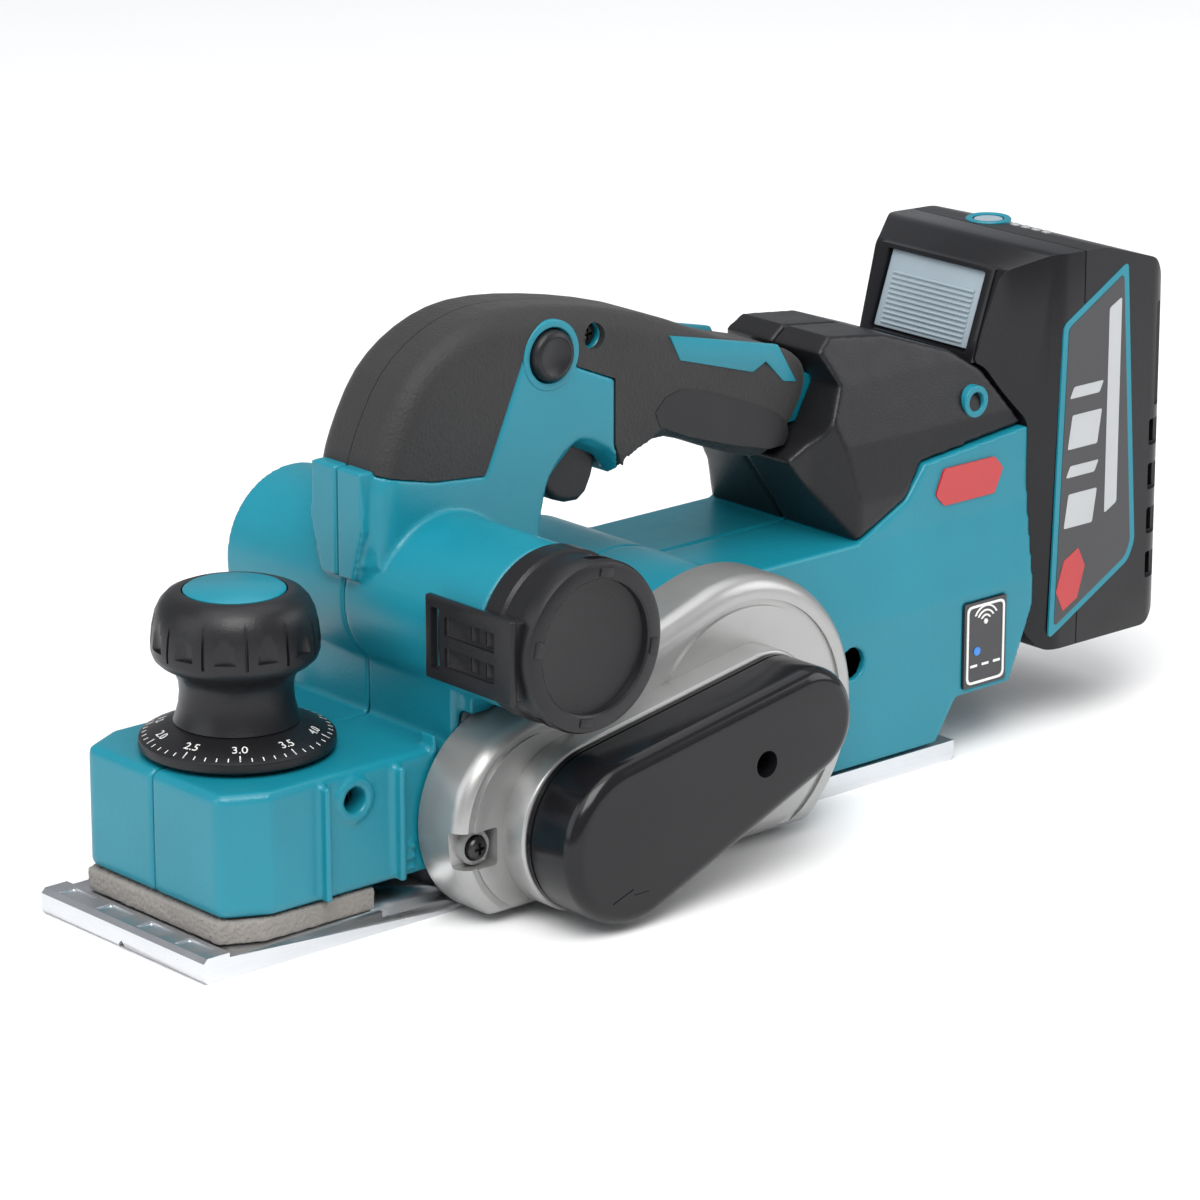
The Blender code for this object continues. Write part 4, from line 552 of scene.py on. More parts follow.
def place(name, mesh, finish_name, body, replaced=(), sharp=None):
    """Adds a finished mesh to the scene as a piece that rides on a body."""
    if isinstance(mesh, bmesh.types.BMesh):
        mesh = mesh_from(name, mesh)
    mesh.name = name
    mesh.materials.clear()
    mesh.materials.append(FINISHES[finish_name])
    if sharp is not None:
        mesh.shade_smooth()
        mesh.set_sharp_from_angle(angle=math.radians(sharp))
    piece = new_object(name, mesh)
    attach(piece, body)
    if replaced:
        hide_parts(*replaced)
    print(f"{name}: {len(mesh.polygons)} faces")
    return piece


# %% [markdown]
# ## Repeats with Geometry Nodes
# Dial marks, finger hollows, ridges and light bars are all one shape set out many times.  Two small node
# trees do it: one sets copies round a circle, one sets them along a line.  The result is made a
# plain mesh at once.


# %% Ring and row trees
def copies_tree(name, layout):
    """A tree that puts copies of an item on points: layout is RING or ROW."""
    tree = bpy.data.node_groups.new(name, "GeometryNodeTree")
    sockets = {}
    for label, kind in (("Item", "Object"), ("Count", "Int"), ("Radius", "Float"), ("Start", "Float"),
                        ("Step", "Vector"), ("First", "Vector"), ("Finish", "Material")):
        socket = tree.interface.new_socket(label, in_out="INPUT", socket_type="NodeSocket" + kind)
        sockets[label] = socket.identifier
    tree.interface.new_socket("Geometry", in_out="OUTPUT", socket_type="NodeSocketGeometry")
    given, out = tree.nodes.new("NodeGroupInput"), tree.nodes.new("NodeGroupOutput")
    item = tree.nodes.new("GeometryNodeObjectInfo")
    spread = tree.nodes.new("GeometryNodeInstanceOnPoints")
    real = tree.nodes.new("GeometryNodeRealizeInstances")
    paint = tree.nodes.new("GeometryNodeSetMaterial")
    link = tree.links.new
    line = tree.nodes.new("GeometryNodeMeshLine")
    line.mode = "OFFSET"
    link(given.outputs["Item"], item.inputs["Object"])
    link(item.outputs["Geometry"], spread.inputs["Instance"])
    if layout == "RING":
        turn = math_node(tree, "DIVIDE", 2 * math.pi, given.outputs["Count"])
        angle = math_node(tree, "MULTIPLY", tree.nodes.new("GeometryNodeInputIndex").outputs[0], turn)
        angle = math_node(tree, "ADD", angle, given.outputs["Start"])
        spin = tree.nodes.new("ShaderNodeCombineXYZ")
        link(angle, spin.inputs["Z"])
        link(spin.outputs[0], spread.inputs["Rotation"])
        place_at = tree.nodes.new("ShaderNodeCombineXYZ")
        for axis, operation in (("X", "COSINE"), ("Y", "SINE")):
            part = math_node(tree, operation, angle, 0.0)
            link(math_node(tree, "MULTIPLY", part, given.outputs["Radius"]), place_at.inputs[axis])
        shift = tree.nodes.new("ShaderNodeVectorMath")
        link(place_at.outputs[0], shift.inputs[0])
        link(given.outputs["First"], shift.inputs[1])
        here = tree.nodes.new("GeometryNodeSetPosition")
        link(line.outputs["Mesh"], here.inputs["Geometry"])
        link(shift.outputs[0], here.inputs["Position"])
        link(here.outputs["Geometry"], spread.inputs["Points"])
    else:
        link(given.outputs["Step"], line.inputs["Offset"])
        link(given.outputs["First"], line.inputs["Start Location"])
        link(line.outputs["Mesh"], spread.inputs["Points"])
    link(given.outputs["Count"], line.inputs["Count"])
    link(spread.outputs["Instances"], real.inputs["Geometry"])
    link(real.outputs["Geometry"], paint.inputs["Geometry"])
    link(given.outputs["Finish"], paint.inputs["Material"])
    link(paint.outputs["Geometry"], out.inputs["Geometry"])
    return tree, sockets


RING = copies_tree("copies_in_a_ring", "RING")
ROW = copies_tree("copies_in_a_row", "ROW")


def copies(kind, item, count, finish_name, radius=0.0, start=0.0, step=(0, 0, 0), first=(0, 0, 0)):
    """Copies of a bmesh item as one bmesh.  Sizes are in millimetres, start is in degrees."""
    tree, sockets = kind
    pattern = new_object("pattern", mesh_from("pattern", item))
    holder = new_object("copies", bpy.data.meshes.new("copies"))
    modifier = holder.modifiers.new("copies", "NODES")
    modifier.node_group = tree
    values = {"Item": pattern, "Count": count, "Radius": radius * MM, "Start": math.radians(start),
              "Step": [v * MM for v in step], "First": [v * MM for v in first],
              "Finish": FINISHES[finish_name]}
    for label, value in values.items():
        modifier[sockets[label]] = value
    mesh = evaluated(holder)
    bpy.data.objects.remove(pattern)
    return bmesh_of(mesh)


# %% [markdown]
# ## Where things are
# Every place comes from the working solids: the axes from the pulleys and the knob, the walls from
# the housing halves.

# %% Places
def middle(node):
    low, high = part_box(node)
    return (low + high) / 2 / MM


def corners_of(node):
    """The lowest and highest corners of a working solid, in millimetres."""
    return [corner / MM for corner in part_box(node)]


DRUM = middle("drum_pulley")
MOTOR = middle("motor_pulley")
KNOB = middle("knob_grip")
BODY_LOW = corners_of("housing_left")[0]
CAST_LOW, CAST_HIGH = corners_of("belt_casting")
COVER_LOW, COVER_HIGH = corners_of("belt_cover")
CAP_LOW, CAP_HIGH = corners_of("chip_cap")
DUCT_X = CAP_HIGH[0] - 27.8
DUCT_Z = (CAP_LOW[2] + CAP_HIGH[2]) / 2
print("drum", DRUM, "motor", MOTOR, "duct", round(DUCT_X, 1), round(DUCT_Z, 1))

# %% [markdown]
# ## The handle
# The handle is one smooth loop of plastic with a soft grip moulded over most of it.  Its side view is
# a curve through a few points; its section is made by stepping that curve inwards while it moves out
# to the side, which gives the rounded back that fits a palm.  The grips and the hard part are cut from
# one melted skin, so that they meet flush.

# %% Handle shape
HANDLE = points((-120, 92), (-62, 92), (-60.3, 108.5), (-56.5, 123.5), (-46, 132.3), (-35, 127),
                (-28, 119.9), (-21.6, 124.4), (-5, 127.5), (21.8, 117.2), (38.2, 113.4), (49.5, 122),
                (57, 136), (51.5, 147), (21.5, 156.5), (-14, 170.7), (-48, 179), (-77.3, 181.8),
                (-98, 176.8), (-114.2, 165.3), (-125, 147), (-129, 132), (-130, 108))
TEAL_ZONE = points((-150, 60), (0, 60), (0, 105), (-24, 114), (-31, 131), (-31, 153), (-47.5, 160),
                   (-48.5, 168), (-54, 175.5), (-62, 176), (-68, 171), (-86, 131), (-107, 133),
                   (-126, 137.5), (-150, 145))
HANDLE_HALF = 17.4
HANDLE_ROUND = 8.0
GRIP_THICK = 2.5
LOCK = middle("lock_off_button")
SECTION_STEPS = 5
GRIP_HOLES = ((-40.0, 168.5), (25.4, 124.2))


def cushioned(outline, half, rounding):
    """An outline given thickness in Y, its side edges rounded like a quarter circle."""
    levels = [(shrink, half - back) for shrink, back in rounded_edge(rounding, SECTION_STEPS)]
    levels = [(shrink, -y) for shrink, y in levels[::-1]] + levels
    return lofted([[(x, y * MM, z) for x, z in inset(outline, shrink)] for shrink, y in levels])


def half_space(side):
    """A large block on one side of the parting plane."""
    low, high = (-400, -0.15) if side < 0 else (0.15, 400)
    return block((-400, low, -400), (400, high, 400))


HANDLE_CURVE = flowing(HANDLE, 3)
SIDES = (("left", -1), ("right", 1))
HANDLE_SKIN = melt(cushioned(HANDLE_CURVE, HANDLE_HALF, HANDLE_ROUND), 0.8, 6, 60000)
HANDLE_CORE = melt(cushioned(inset(HANDLE_CURVE, GRIP_THICK), HANDLE_HALF - GRIP_THICK, 6.0), 1.2, 3, 16000)
print("handle skin", len(HANDLE_SKIN.polygons), "core", len(HANDLE_CORE.polygons))


def handle_teal(side):
    """The hard part of the handle that shows between the two grips."""
    solid = carve(bmesh_of(HANDLE_SKIN), [half_space(side)], "INTERSECT")
    solid = carve(solid, [slab(inset(TEAL_ZONE, 0.4), -60, 60)], "INTERSECT")
    trigger_way = block((-66, -9.2, 100), (-29.5, 9.2, 142))
    return carve(solid, [trigger_way, rod((LOCK[0], -60, LOCK[2]), "Y", 120, 8.9, 48)])


def grip(side):
    neck = block((36, -12.4, 121.6), (95, 12.4, 138.4))
    holes = [rod((x, -60, z), "Y", 60, 4.4, 32) for x, z in GRIP_HOLES if side < 0]
    solid = carve(bmesh_of(HANDLE_SKIN), [half_space(side)], "INTERSECT")
    return carve(solid, [slab(TEAL_ZONE, -60, 60), bmesh_of(HANDLE_CORE), neck, *holes])


for name, side in SIDES:
    place(f"soft_grip_{name}", grip(side), "grip_elastomer", "planer", [f"grip_{name}"], sharp=40)

# %% [markdown]
# The grip has an inlay on each side: a hard bevelled arrow, and under it a smooth panel with a rim.

# %% Inlays
ARROW = points((-7, 162.5), (40, 151.6), (48, 138.5), (43, 139.5), (35, 147.7), (29, 145.0), (-3, 154.5))
PALM_PANEL = points((-17, 132), (37.7, 113.6), (50, 123), (36.5, 134), (-3, 148))
for name, side in SIDES:
    face = side * HANDLE_HALF
    arrow = plate(inset(ARROW, 0.4), face, side, 2.0, 0.35)
    bmesh.ops.bevel(arrow, geom=arrow.edges, offset=0.3 * MM, segments=2, profile=0.5, affect="EDGES")
    place(f"grip_arrow_{name}", arrow, "teal_plastic", "planer", sharp=35)
    panel = plate(flowing(inset(PALM_PANEL, 3.0), 3), face, side, 2.0, 0.2)
    place(f"palm_panel_{name}", panel, "black_plastic", "planer", sharp=35)

# %% [markdown]
# ## The housing
# The two halves are glass-filled nylon.  Ribs, bosses and fins are added to each working half, the
# duct and the motor barrel are made truly round, and the whole is melted into one skin.

# %% Housing halves
FENCE_HOLE = (-160.0, 46.0)
CASE_HOLE = (54.0, 44.0)
WALL, RIB_OUT = 41.0, 3.6
SHIELD = points((-12, 139), (-13, 120), (-8, 103), (8, 103), (13, 120), (12, 139))


def housing_details(side):
    """The ribs, fins and rounds that are moulded on one half."""
    near, wall = 0.15 * side, WALL * side
    parts = [handle_teal(side)]
    for x in (-173.5, -144.0):
        y_low, y_high = sorted((wall - side, wall + RIB_OUT * side))
        parts.append(block((x, y_low, 16.0), (x + 2.4, y_high, 53.5), 0.6))
    for i in range(3):
        y_low, y_high = sorted((wall - side, wall + side * 1.6))
        parts.append(block((-141.5, y_low, 18.0 + 3.6 * i), (-136.4, y_high, 19.6 + 3.6 * i), 0.3))
    duct_end, barrel_end = (BODY_LOW[1], -41.8) if side < 0 else (60.0, 49.2)
    parts.append(tube(27.0, 24.3, *sorted((near, duct_end)), DUCT_X, DUCT_Z))
    parts.append(tube(38.0, 35.6, *sorted((near, barrel_end)), MOTOR[0], MOTOR[2]))
    parts.append(carve(slab(SHIELD, -132.6, -127.0, "X"), [half_space(side)], "INTERSECT"))
    for x, top in ((-119.5, 76.5), (-128.5, 60.0)):
        y_low, y_high = sorted((wall - side * 6, wall + side * 0.9))
        parts.append(block((x, y_low, 54.0), (x + 1.8, y_high, top), 0.5))
    return parts


for name, side in SIDES:
    low, high = between(side, 34.0, 60.0)
    holes = [rod((x, low, z), "Y", high - low, radius, 48)
             for (x, z), radius in ((FENCE_HOLE, 4.2), (CASE_HOLE, 5.6))]
    shell = carve(solid_copy(f"housing_{name}"), holes)
    collar = tube(7.2, 4.2, *between(side, 34.0, 42.4), *FENCE_HOLE)
    parts = [shell, collar, *housing_details(side)]
    place(f"housing_shell_{name}", melt(joined(*parts), 0.85, 3, 150000), "teal_plastic", "planer",
          [f"housing_{name}"])

# %% [markdown]
# ## Belt casting and belt cover
# The drive side is two shells, both drawn round the drum axle and the motor shaft like a belt.  Their
# outer edge is a quarter circle, made by stepping the outline inwards as it comes forward.

# %% Belt outlines and domed plates
CASTING_BACK, CASTING_FACE, STEP_FACE = CAST_HIGH[1], CAST_LOW[1] + 10.0, CAST_LOW[1]
COVER_BACK, COVER_FACE = COVER_HIGH[1], COVER_LOW[1]
CASTING_FLOOR = CAST_LOW[2]
LOBE = (DRUM[0] - 10.5, DRUM[2] + 2.0)
DISC = (MOTOR[0], MOTOR[2] - 8.5)


def belt_outline(first, second, steps=48, floor=-1000.0):
    """A belt round two circles (x, z, radius) in millimetres, flat where it would pass a floor."""
    (ax, az, ar), (bx, bz, br) = first, second
    along = math.atan2(bz - az, bx - ax)
    open_angle = math.acos((ar - br) / math.hypot(bx - ax, bz - az))
    curve = []
    for (x, z, r), start, sweep in ((first, along + open_angle, 2 * math.pi - 2 * open_angle),
                                    (second, along - open_angle, 2 * open_angle)):
        for i in range(steps + 1):
            angle = start + sweep * i / steps
            curve.append((x + r * math.cos(angle), max(floor, z + r * math.sin(angle))))
    return points(*curve)


def belt_shape(first, second, floor=-1000.0):
    """A function that gives the belt's outline stepped inwards by a distance in millimetres."""
    def shrunk(distance):
        circles = [(x, z, r - distance) for x, z, r in (first, second)]
        return belt_outline(*circles, 64, floor + distance)
    return shrunk


def domed(shape, back, face, rounding, steps=6):
    """A belt shape given depth along -Y, with the edge of its face rounded."""
    levels = [(0.0, back)] + [(shrink, face + depth) for shrink, depth in rounded_edge(rounding, steps)]
    return lofted([[(x, y * MM, z) for x, z in shape(shrink)] for shrink, y in levels])


BELT_ROOM = belt_outline((DRUM[0], DRUM[2], 24.8), (MOTOR[0], MOTOR[2], 16.3))
print("belt room", len(BELT_ROOM), "points")

# %% Belt casting
casting = domed(belt_shape((*LOBE, 34.5), (*DISC, 50.0), CASTING_FLOOR), CASTING_BACK, CASTING_FACE, 6.0)
step = domed(belt_shape((DRUM[0], DRUM[2], 28.1), (MOTOR[0], MOTOR[2], 19.6), CASTING_FLOOR),
             CASTING_FACE + 2.0, STEP_FACE, 1.0, 3)
ring_groove = tube(42.5, 40.2, CASTING_FACE - 2, CASTING_FACE + 0.9, *DISC, 128)
lobe_groove = tube(31.0, 28.9, CASTING_FACE - 2, CASTING_FACE + 0.9, *LOBE)
casting = carve(casting, [ring_groove, lobe_groove])
casting = carve(casting, [step], "UNION")
SCREW_AT = (-127.0, DRUM[2] - 2.0)
notch = block((-150, -90, SCREW_AT[1] - 6.2), (SCREW_AT[0] + 6.4, CASTING_FACE + 6.0, SCREW_AT[1] + 6.2), 1.2)
casting = carve(casting, [slab(BELT_ROOM, -200, CASTING_FACE + 1.5),
                          rod((MOTOR[0], CASTING_FACE + 8.5, MOTOR[2]), "Y", 60, 35.0),
                          bore(DRUM[0], DRUM[2], 6.0),
                          rod((DRUM[0], CASTING_BACK - 10.2, DRUM[2]), "Y", 60, 11.3),
                          rod((MOTOR[0], CASTING_FACE + 2.2, MOTOR[2]), "Y", 60, 9.3),
                          bore(DUCT_X, DUCT_Z, 27.5), notch])
place("belt_side_casting", casting, "painted_casting", "planer", ["belt_casting"], sharp=32)
screw_rim = carve(rod((SCREW_AT[0], CASTING_FACE + 3.2, SCREW_AT[1]), "Y", 2.9, 5.6),
                  [rod((SCREW_AT[0], -100, SCREW_AT[1]), "Y", 100, 4.3)])
place("screw_rim", screw_rim, "painted_casting", "planer", sharp=32)

# %% Belt cover
COVER_SCREW = middle("belt_cover_screw")
cover = domed(belt_shape((DRUM[0], DRUM[2], 27.1), (MOTOR[0], MOTOR[2], 18.6)), COVER_BACK,
              COVER_FACE, 5.0, 8)
room = carve(slab(BELT_ROOM, COVER_FACE + 4.0, 100), [bore(COVER_SCREW[0], COVER_SCREW[2], 6.5)])
edge_groove = belt_outline((DRUM[0], DRUM[2], 30.0), (MOTOR[0], MOTOR[2], 21.5), 64)
groove = carve(slab(edge_groove, COVER_BACK - 2.6, COVER_BACK - 1.8),
               [slab(inset(edge_groove, 3.5), -200, 100)])
cover = carve(cover, [room, groove, bore(COVER_SCREW[0], COVER_SCREW[2], 2.3),
                      rod((COVER_SCREW[0], -200, COVER_SCREW[2]), "Y", 200 + COVER_BACK - 6.0, 4.4)])
place("belt_side_cover", cover, "gloss_black_plastic", "planer", ["belt_cover"], sharp=32)
arrow = slab(points((-101, 12.0), (-92.5, 9.0), (-92.5, 11.0), (-86, 11.0), (-86, 13.0), (-92.5, 13.0),
                    (-92.5, 15.0)), COVER_FACE - 0.25, COVER_FACE + 0.6)
place("turning_arrow", arrow, "gloss_black_plastic", "planer", sharp=32)

# %% [markdown]
# ## Chip cap
# The cap closes the chip duct on the belt side.  A turned shell gives its rim and its sunken face; the
# latch arm, its slots and the windows come from blocks with rounded edges.

# %% Chip cap
CAP_BACK, CAP_FACE = CAP_HIGH[1] - 21.0, CAP_LOW[1]
EDGE = CAP_HIGH[0] - DUCT_X
cap = turned([(23.3, CAP_BACK + 14), (23.3, CAP_BACK + 0.1), (26.9, CAP_BACK + 0.1), (EDGE, CAP_BACK - 1.0),
              (EDGE, CAP_BACK - 8.0), (EDGE - 1.0, CAP_BACK - 9.0), (EDGE - 1.0, CAP_FACE + 8),
              (EDGE - 0.2, CAP_FACE + 7), (EDGE - 0.2, CAP_FACE + 2.0), (EDGE - 0.9, CAP_FACE + 0.6),
              (EDGE - 2.4, CAP_FACE), (EDGE - 5.6, CAP_FACE), (EDGE - 6.3, CAP_FACE + 0.5),
              (EDGE - 6.6, CAP_FACE + 2.7), (EDGE - 9.0, CAP_FACE + 3.2), (0, CAP_FACE + 3.2),
              (0, CAP_FACE + 5.4), (20.8, CAP_FACE + 5.4), (20.8, CAP_BACK + 14)], (DUCT_X, 0, DUCT_Z), "Y")
ARM_X, ARM_END, ARM_HALF = CAP_LOW[0], CAP_HIGH[1], 13.5
arm = block((ARM_X, CAP_FACE + 4, DUCT_Z - ARM_HALF), (ARM_X + 2.6, ARM_END, DUCT_Z + ARM_HALF), 0.7)
bridge = block((ARM_X + 1.0, CAP_FACE + 4.4, DUCT_Z - 12.5), (ARM_X + 9, CAP_BACK - 2, DUCT_Z + 12.5), 0.6)
cap = carve(cap, [arm, carve(bridge, [bore(DUCT_X, DUCT_Z, EDGE - 1.6)])], "UNION")


def round_the_duct(solid, degrees):
    """Turns a solid that was made beside the origin round the duct's axis, to its place on the rim."""
    turn = Matrix.Rotation(math.radians(degrees), 4, "Y")
    bmesh.ops.transform(solid, matrix=Matrix.Translation(Vector((DUCT_X, 0, DUCT_Z)) * MM) @ turn,
                        verts=solid.verts)
    return solid


cuts = [block((ARM_X - 5, ARM_END - 7, DUCT_Z - 10), (ARM_X + 2.62, ARM_END - 3, DUCT_Z + 10), 0.5)]
for z in (DUCT_Z - 5.0, DUCT_Z + 5.0):
    cuts.append(block((ARM_X - 5, CAP_BACK - 12, z - 3.2), (ARM_X + 1.5, ARM_END - 9.5, z + 3.2), 0.6))
    for y in (CAP_BACK - 10.5, CAP_BACK - 3.5):
        cuts.append(block((ARM_X - 5, y, z - 2.4), (ARM_X + 2.0, y + 4.0, z + 2.4), 0.4))
for degrees in (-35, -80, -125, 35, 80):
    window = block((EDGE - 1.7, CAP_FACE + 2.6, -5.0), (EDGE + 3, CAP_FACE + 6.4, 5.0), 0.4)
    cuts.append(round_the_duct(window, -degrees))
cap = carve(cap, cuts)
for degrees in (10, 100, 190, 280):
    tab = block((EDGE - 5.4, CAP_FACE - 0.5, -2.6), (EDGE - 2.6, CAP_FACE + 1.5, 2.6), 0.3)
    cap = carve(cap, [round_the_duct(tab, degrees)], "UNION")
place("duct_cap", cap, "black_plastic", "cap", ["chip_cap"], sharp=30)

# %% [markdown]
# ## Depth knob and dial
# The knob is turned, then hollows for the fingers and thin grooves are cut round it from ring copies.
# The dial's marks are ring copies too, laid on its sloping rim; the numbers are text made into mesh.

# %% Knob
profile = [(16.6, 107.4), (18.6, 107.3), (21.2, 106.3), (23.4, 104.0), (25.0, 100.8), (26.0, 96.5),
           (26.5, 91.5), (26.4, 88.2), (25.6, 86.1), (24.0, 84.6), (21.2, 83.0), (19.3, 81.2),
           (18.2, 78.6), (17.9, 75.0),
           (18.3, 71.0), (19.2, 67.6), (20.0, 65.4), (4.4, 65.4), (4.4, 103), (16.6, 103)]
knob = turned(profile, (KNOB[0], 0, 0), "Z", 144)
hollows = copies(RING, rod((0, 0, 0), "Z", 16, 5.6, 24, 4.6), 12, "black_plastic", 30.6, 15,
                 first=(KNOB[0], 0, 90.5))
grooves = copies(RING, block((-1.6, -0.5, 0), (3, 0.5, 15), 0.3), 12, "black_plastic", 26.5,
                 first=(KNOB[0], 0, 88.5))
knob = carve(knob, [hollows, grooves])
place("knob_body", knob, "black_plastic", "knob", ["knob_grip"], sharp=40)
badge = turned([(16.1, 105.2), (16.1, 107.5), (15.4, 108.0), (0, 108.15), (0, 105.2)], (KNOB[0], 0, 0), "Z")
place("knob_cap_disc", badge, "teal_plastic", "knob", ["knob_badge"], sharp=40)

# %% Dial
DIAL_SLOPE = math.atan2(4.3, 9.8)
DIAL_TOP_RADIUS, DIAL_TOP = 20.2, 65.0


def dial_height(radius):
    return DIAL_TOP - (radius - DIAL_TOP_RADIUS) * math.tan(DIAL_SLOPE)


dial = turned([(14.2, 57.0), (14.2, 65.0), (20.2, 65.0), (30.0, 60.7), (30.8, 60.2), (31.0, 59.4),
               (31.0, 57.6), (30.4, 57.0)], (KNOB[0], 0, 0), "Z", 144)
place("dial_plate", dial, "black_plastic", "knob", ["dial_ring"], sharp=25)


def dial_mark(length, width):
    mark = block((-length, -width / 2, -0.2), (0, width / 2, 0.07))
    bmesh.ops.rotate(mark, cent=(0, 0, 0), matrix=Matrix.Rotation(DIAL_SLOPE, 3, "Y"), verts=mark.verts)
    return mark


MARK_RADIUS = 29.8
marks = joined(*(copies(RING, dial_mark(*size), count, "print_white", MARK_RADIUS, 18,
                        first=(KNOB[0], 0, dial_height(MARK_RADIUS)))
                 for size, count in (((1.6, 0.34), 50), ((2.8, 0.42), 10))))


def dial_number(label, degrees, radius=24.9):
    """A number that lies on the dial's slope and reads from outside."""
    text = bpy.data.curves.new("number", "FONT")
    text.body = label
    text.size = 4.3 * MM
    text.align_x = "CENTER"
    text.align_y = "CENTER"
    text.extrude = 0.07 * MM
    mesh = evaluated(new_object("number", text))
    turn = math.radians(degrees)
    out = Vector((math.cos(turn), math.sin(turn), 0))
    right = Vector((-math.sin(turn), math.cos(turn), 0))
    up = -out * math.cos(DIAL_SLOPE) + Vector((0, 0, math.sin(DIAL_SLOPE)))
    normal = right.cross(up)
    spot = Vector((KNOB[0], 0, dial_height(radius))) * MM + out * radius * MM
    mesh.transform(Matrix.Translation(spot) @ Matrix((right, up, normal)).transposed().to_4x4())
    return bmesh_of(mesh)


DIAL_STEP, DIAL_THREE = 36, 234
numbers = [dial_number(f"{i / 2:.1f}" if i else "0", DIAL_THREE + (i - 6) * DIAL_STEP) for i in range(9)]
place("dial_marks", joined(marks, *numbers), "print_white", "knob")

# %% [markdown]
# ## Foam seal and front sole
# The seal is open-cell foam that squeezes as the front sole rises.  Its block is put on a grid and every
# point is moved a little by noise, which gives the crumbly cut face.

# %% Foam seal
SEAL_LOW, SEAL_HIGH = corners_of("base_seal")


def seal_outline(grow):
    front, rear, half = SEAL_LOW[0] - grow, SEAL_HIGH[0] + grow, SEAL_HIGH[1] + grow
    return points((front, -half + 6.5), (front + 13, -half), (rear, -half), (rear, half), (front + 13, half),
                  (front, half - 6.5))


seal = carve(slab(seal_outline(-0.3), SEAL_LOW[2] + 0.25, SEAL_HIGH[2] - 0.25, "Z"),
             [slab(seal_outline(-8.2), -50, 50, "Z")])
seal_mesh = melt(seal, 0.8, 1)
for vertex in seal_mesh.vertices:
    coarse = noise.noise(vertex.co * 330.0)
    fine = noise.noise(vertex.co * 900.0)
    vertex.co += vertex.normal * (coarse * 0.22 + fine * 0.2) * MM
foam = place("foam_seal", seal_mesh, "foam", "planer", ["base_seal"])
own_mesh(foam)

# %% Front sole
LIP_TOP = 8.5
lip = corners_of("front_base")[0].x
pockets = [block((lip + 2.2, y, LIP_TOP - 0.9), (lip + 8.4, y + 12.5, LIP_TOP + 3), 0.4)
           for y in (-36.5, -17.0, 4.0, 23.5)]
for side in (-1, 1):
    y_low, y_high = between(side, 39.5, 45.0)
    pockets.append(block((-150, y_low, 4.4), (-120, y_high, 12)))
sole = carve(solid_copy("front_base"), pockets)
place("front_sole", sole, "machined_aluminium", "front_base", ["front_base"], sharp=30)

# %% [markdown]
# ## Battery
# The pack slides on from above.  Its shape is one side view crossed with one plan view, both with
# rounded corners, then bevelled all round and split into a glossy front shell and a duller rear shell.

# %% Battery shells
BATTERY_LOW, BATTERY_HIGH = corners_of("battery_case_rear")
FRONT_LOW, FRONT_HIGH = corners_of("battery_case_front")
SPLIT = (FRONT_HIGH[0] + BATTERY_LOW[0]) / 2
TOP, FLOOR_Z, REAR = FRONT_HIGH[2], BATTERY_LOW[2], BATTERY_HIGH[0]
NOSE = FRONT_LOW[0] + 18.8
HALF = BATTERY_HIGH[1]


def rounded(corners, radius, steps=5):
    """An outline with each corner cut by a small curve; the radius is in millimetres."""
    curve = []
    count = len(corners)
    for i in range(count):
        before, here, after = (Vector(corners[(i + k) % count]) for k in (-1, 0, 1))
        reach = min(radius * MM, 0.45 * (before - here).length, 0.45 * (after - here).length)
        start = here + (before - here).normalized() * reach
        end = here + (after - here).normalized() * reach
        for k in range(steps + 1):
            t = k / steps
            curve.append(tuple(start * (1 - t) ** 2 + here * 2 * t * (1 - t) + end * t * t))
    return curve


def softened(solid, width, angle=35):
    """A solid with its edges rounded by a bevel; the width is in millimetres."""
    made = new_object("softening", mesh_from("softening", solid))
    bevel = made.modifiers.new("edges", "BEVEL")
    bevel.width = width * MM
    bevel.segments = 3
    bevel.limit_method = "ANGLE"
    bevel.angle_limit = math.radians(angle)
    return bmesh_of(evaluated(made))


PACK_SIDE = points((NOSE, FLOOR_Z + 7), (NOSE + 5.7, FLOOR_Z), (REAR - 8, FLOOR_Z), (REAR, FLOOR_Z + 8),
                   (REAR, TOP - 19.5), (REAR - 7, TOP - 8.5), (REAR - 32, TOP - 1), (NOSE + 6.7, TOP),
                   (NOSE - 8.3, TOP - 5.5), (NOSE - 18.8, TOP - 35.5), (NOSE - 14.3, TOP - 38),
                   (NOSE, TOP - 58))
PLAN_EDGE = ((NOSE - 22.3, HALF - 15), (NOSE - 7.3, HALF - 11), (NOSE + 9.7, HALF), (REAR - 5, HALF),
             (REAR + 1, HALF - 5))
PACK_PLAN = points(*((x, -y) for x, y in PLAN_EDGE), *PLAN_EDGE[::-1])


RELEASE_LOW, RELEASE_HIGH = corners_of("battery_release")
pack = carve(slab(rounded(PACK_SIDE, 2.5), -60, 60), [slab(rounded(PACK_PLAN, 3.0), 0, 300, "Z")],
             "INTERSECT")
shell = softened(pack, 0.9)
button_way = block((0, RELEASE_LOW[1] - 0.6, RELEASE_LOW[2] - 0.6),
                   (SPLIT - 12, RELEASE_HIGH[1] + 0.6, RELEASE_HIGH[2] + 0.6), 1.0)
rail_slot = block((0, -17, -10), (NOSE + 9.5, 17, 100), 1.0)
cell_room = block((NOSE + 12.5, -39, FLOOR_Z + 3), (SPLIT + 10, 39, TOP - 4))
rim_zone = block((60, -100, RELEASE_LOW[2] - 3.5), (SPLIT - 14, 100, RELEASE_HIGH[2] + 2.0), 0.2)
frame_rim = softened(carve(slab(inset(PACK_SIDE, -0.7), -27.5, 27.5), [rim_zone], "INTERSECT"), 0.6)
front_shell = carve(shell.copy(), [block((0, -100, 0), (SPLIT - 0.25, 100, 300))], "INTERSECT")
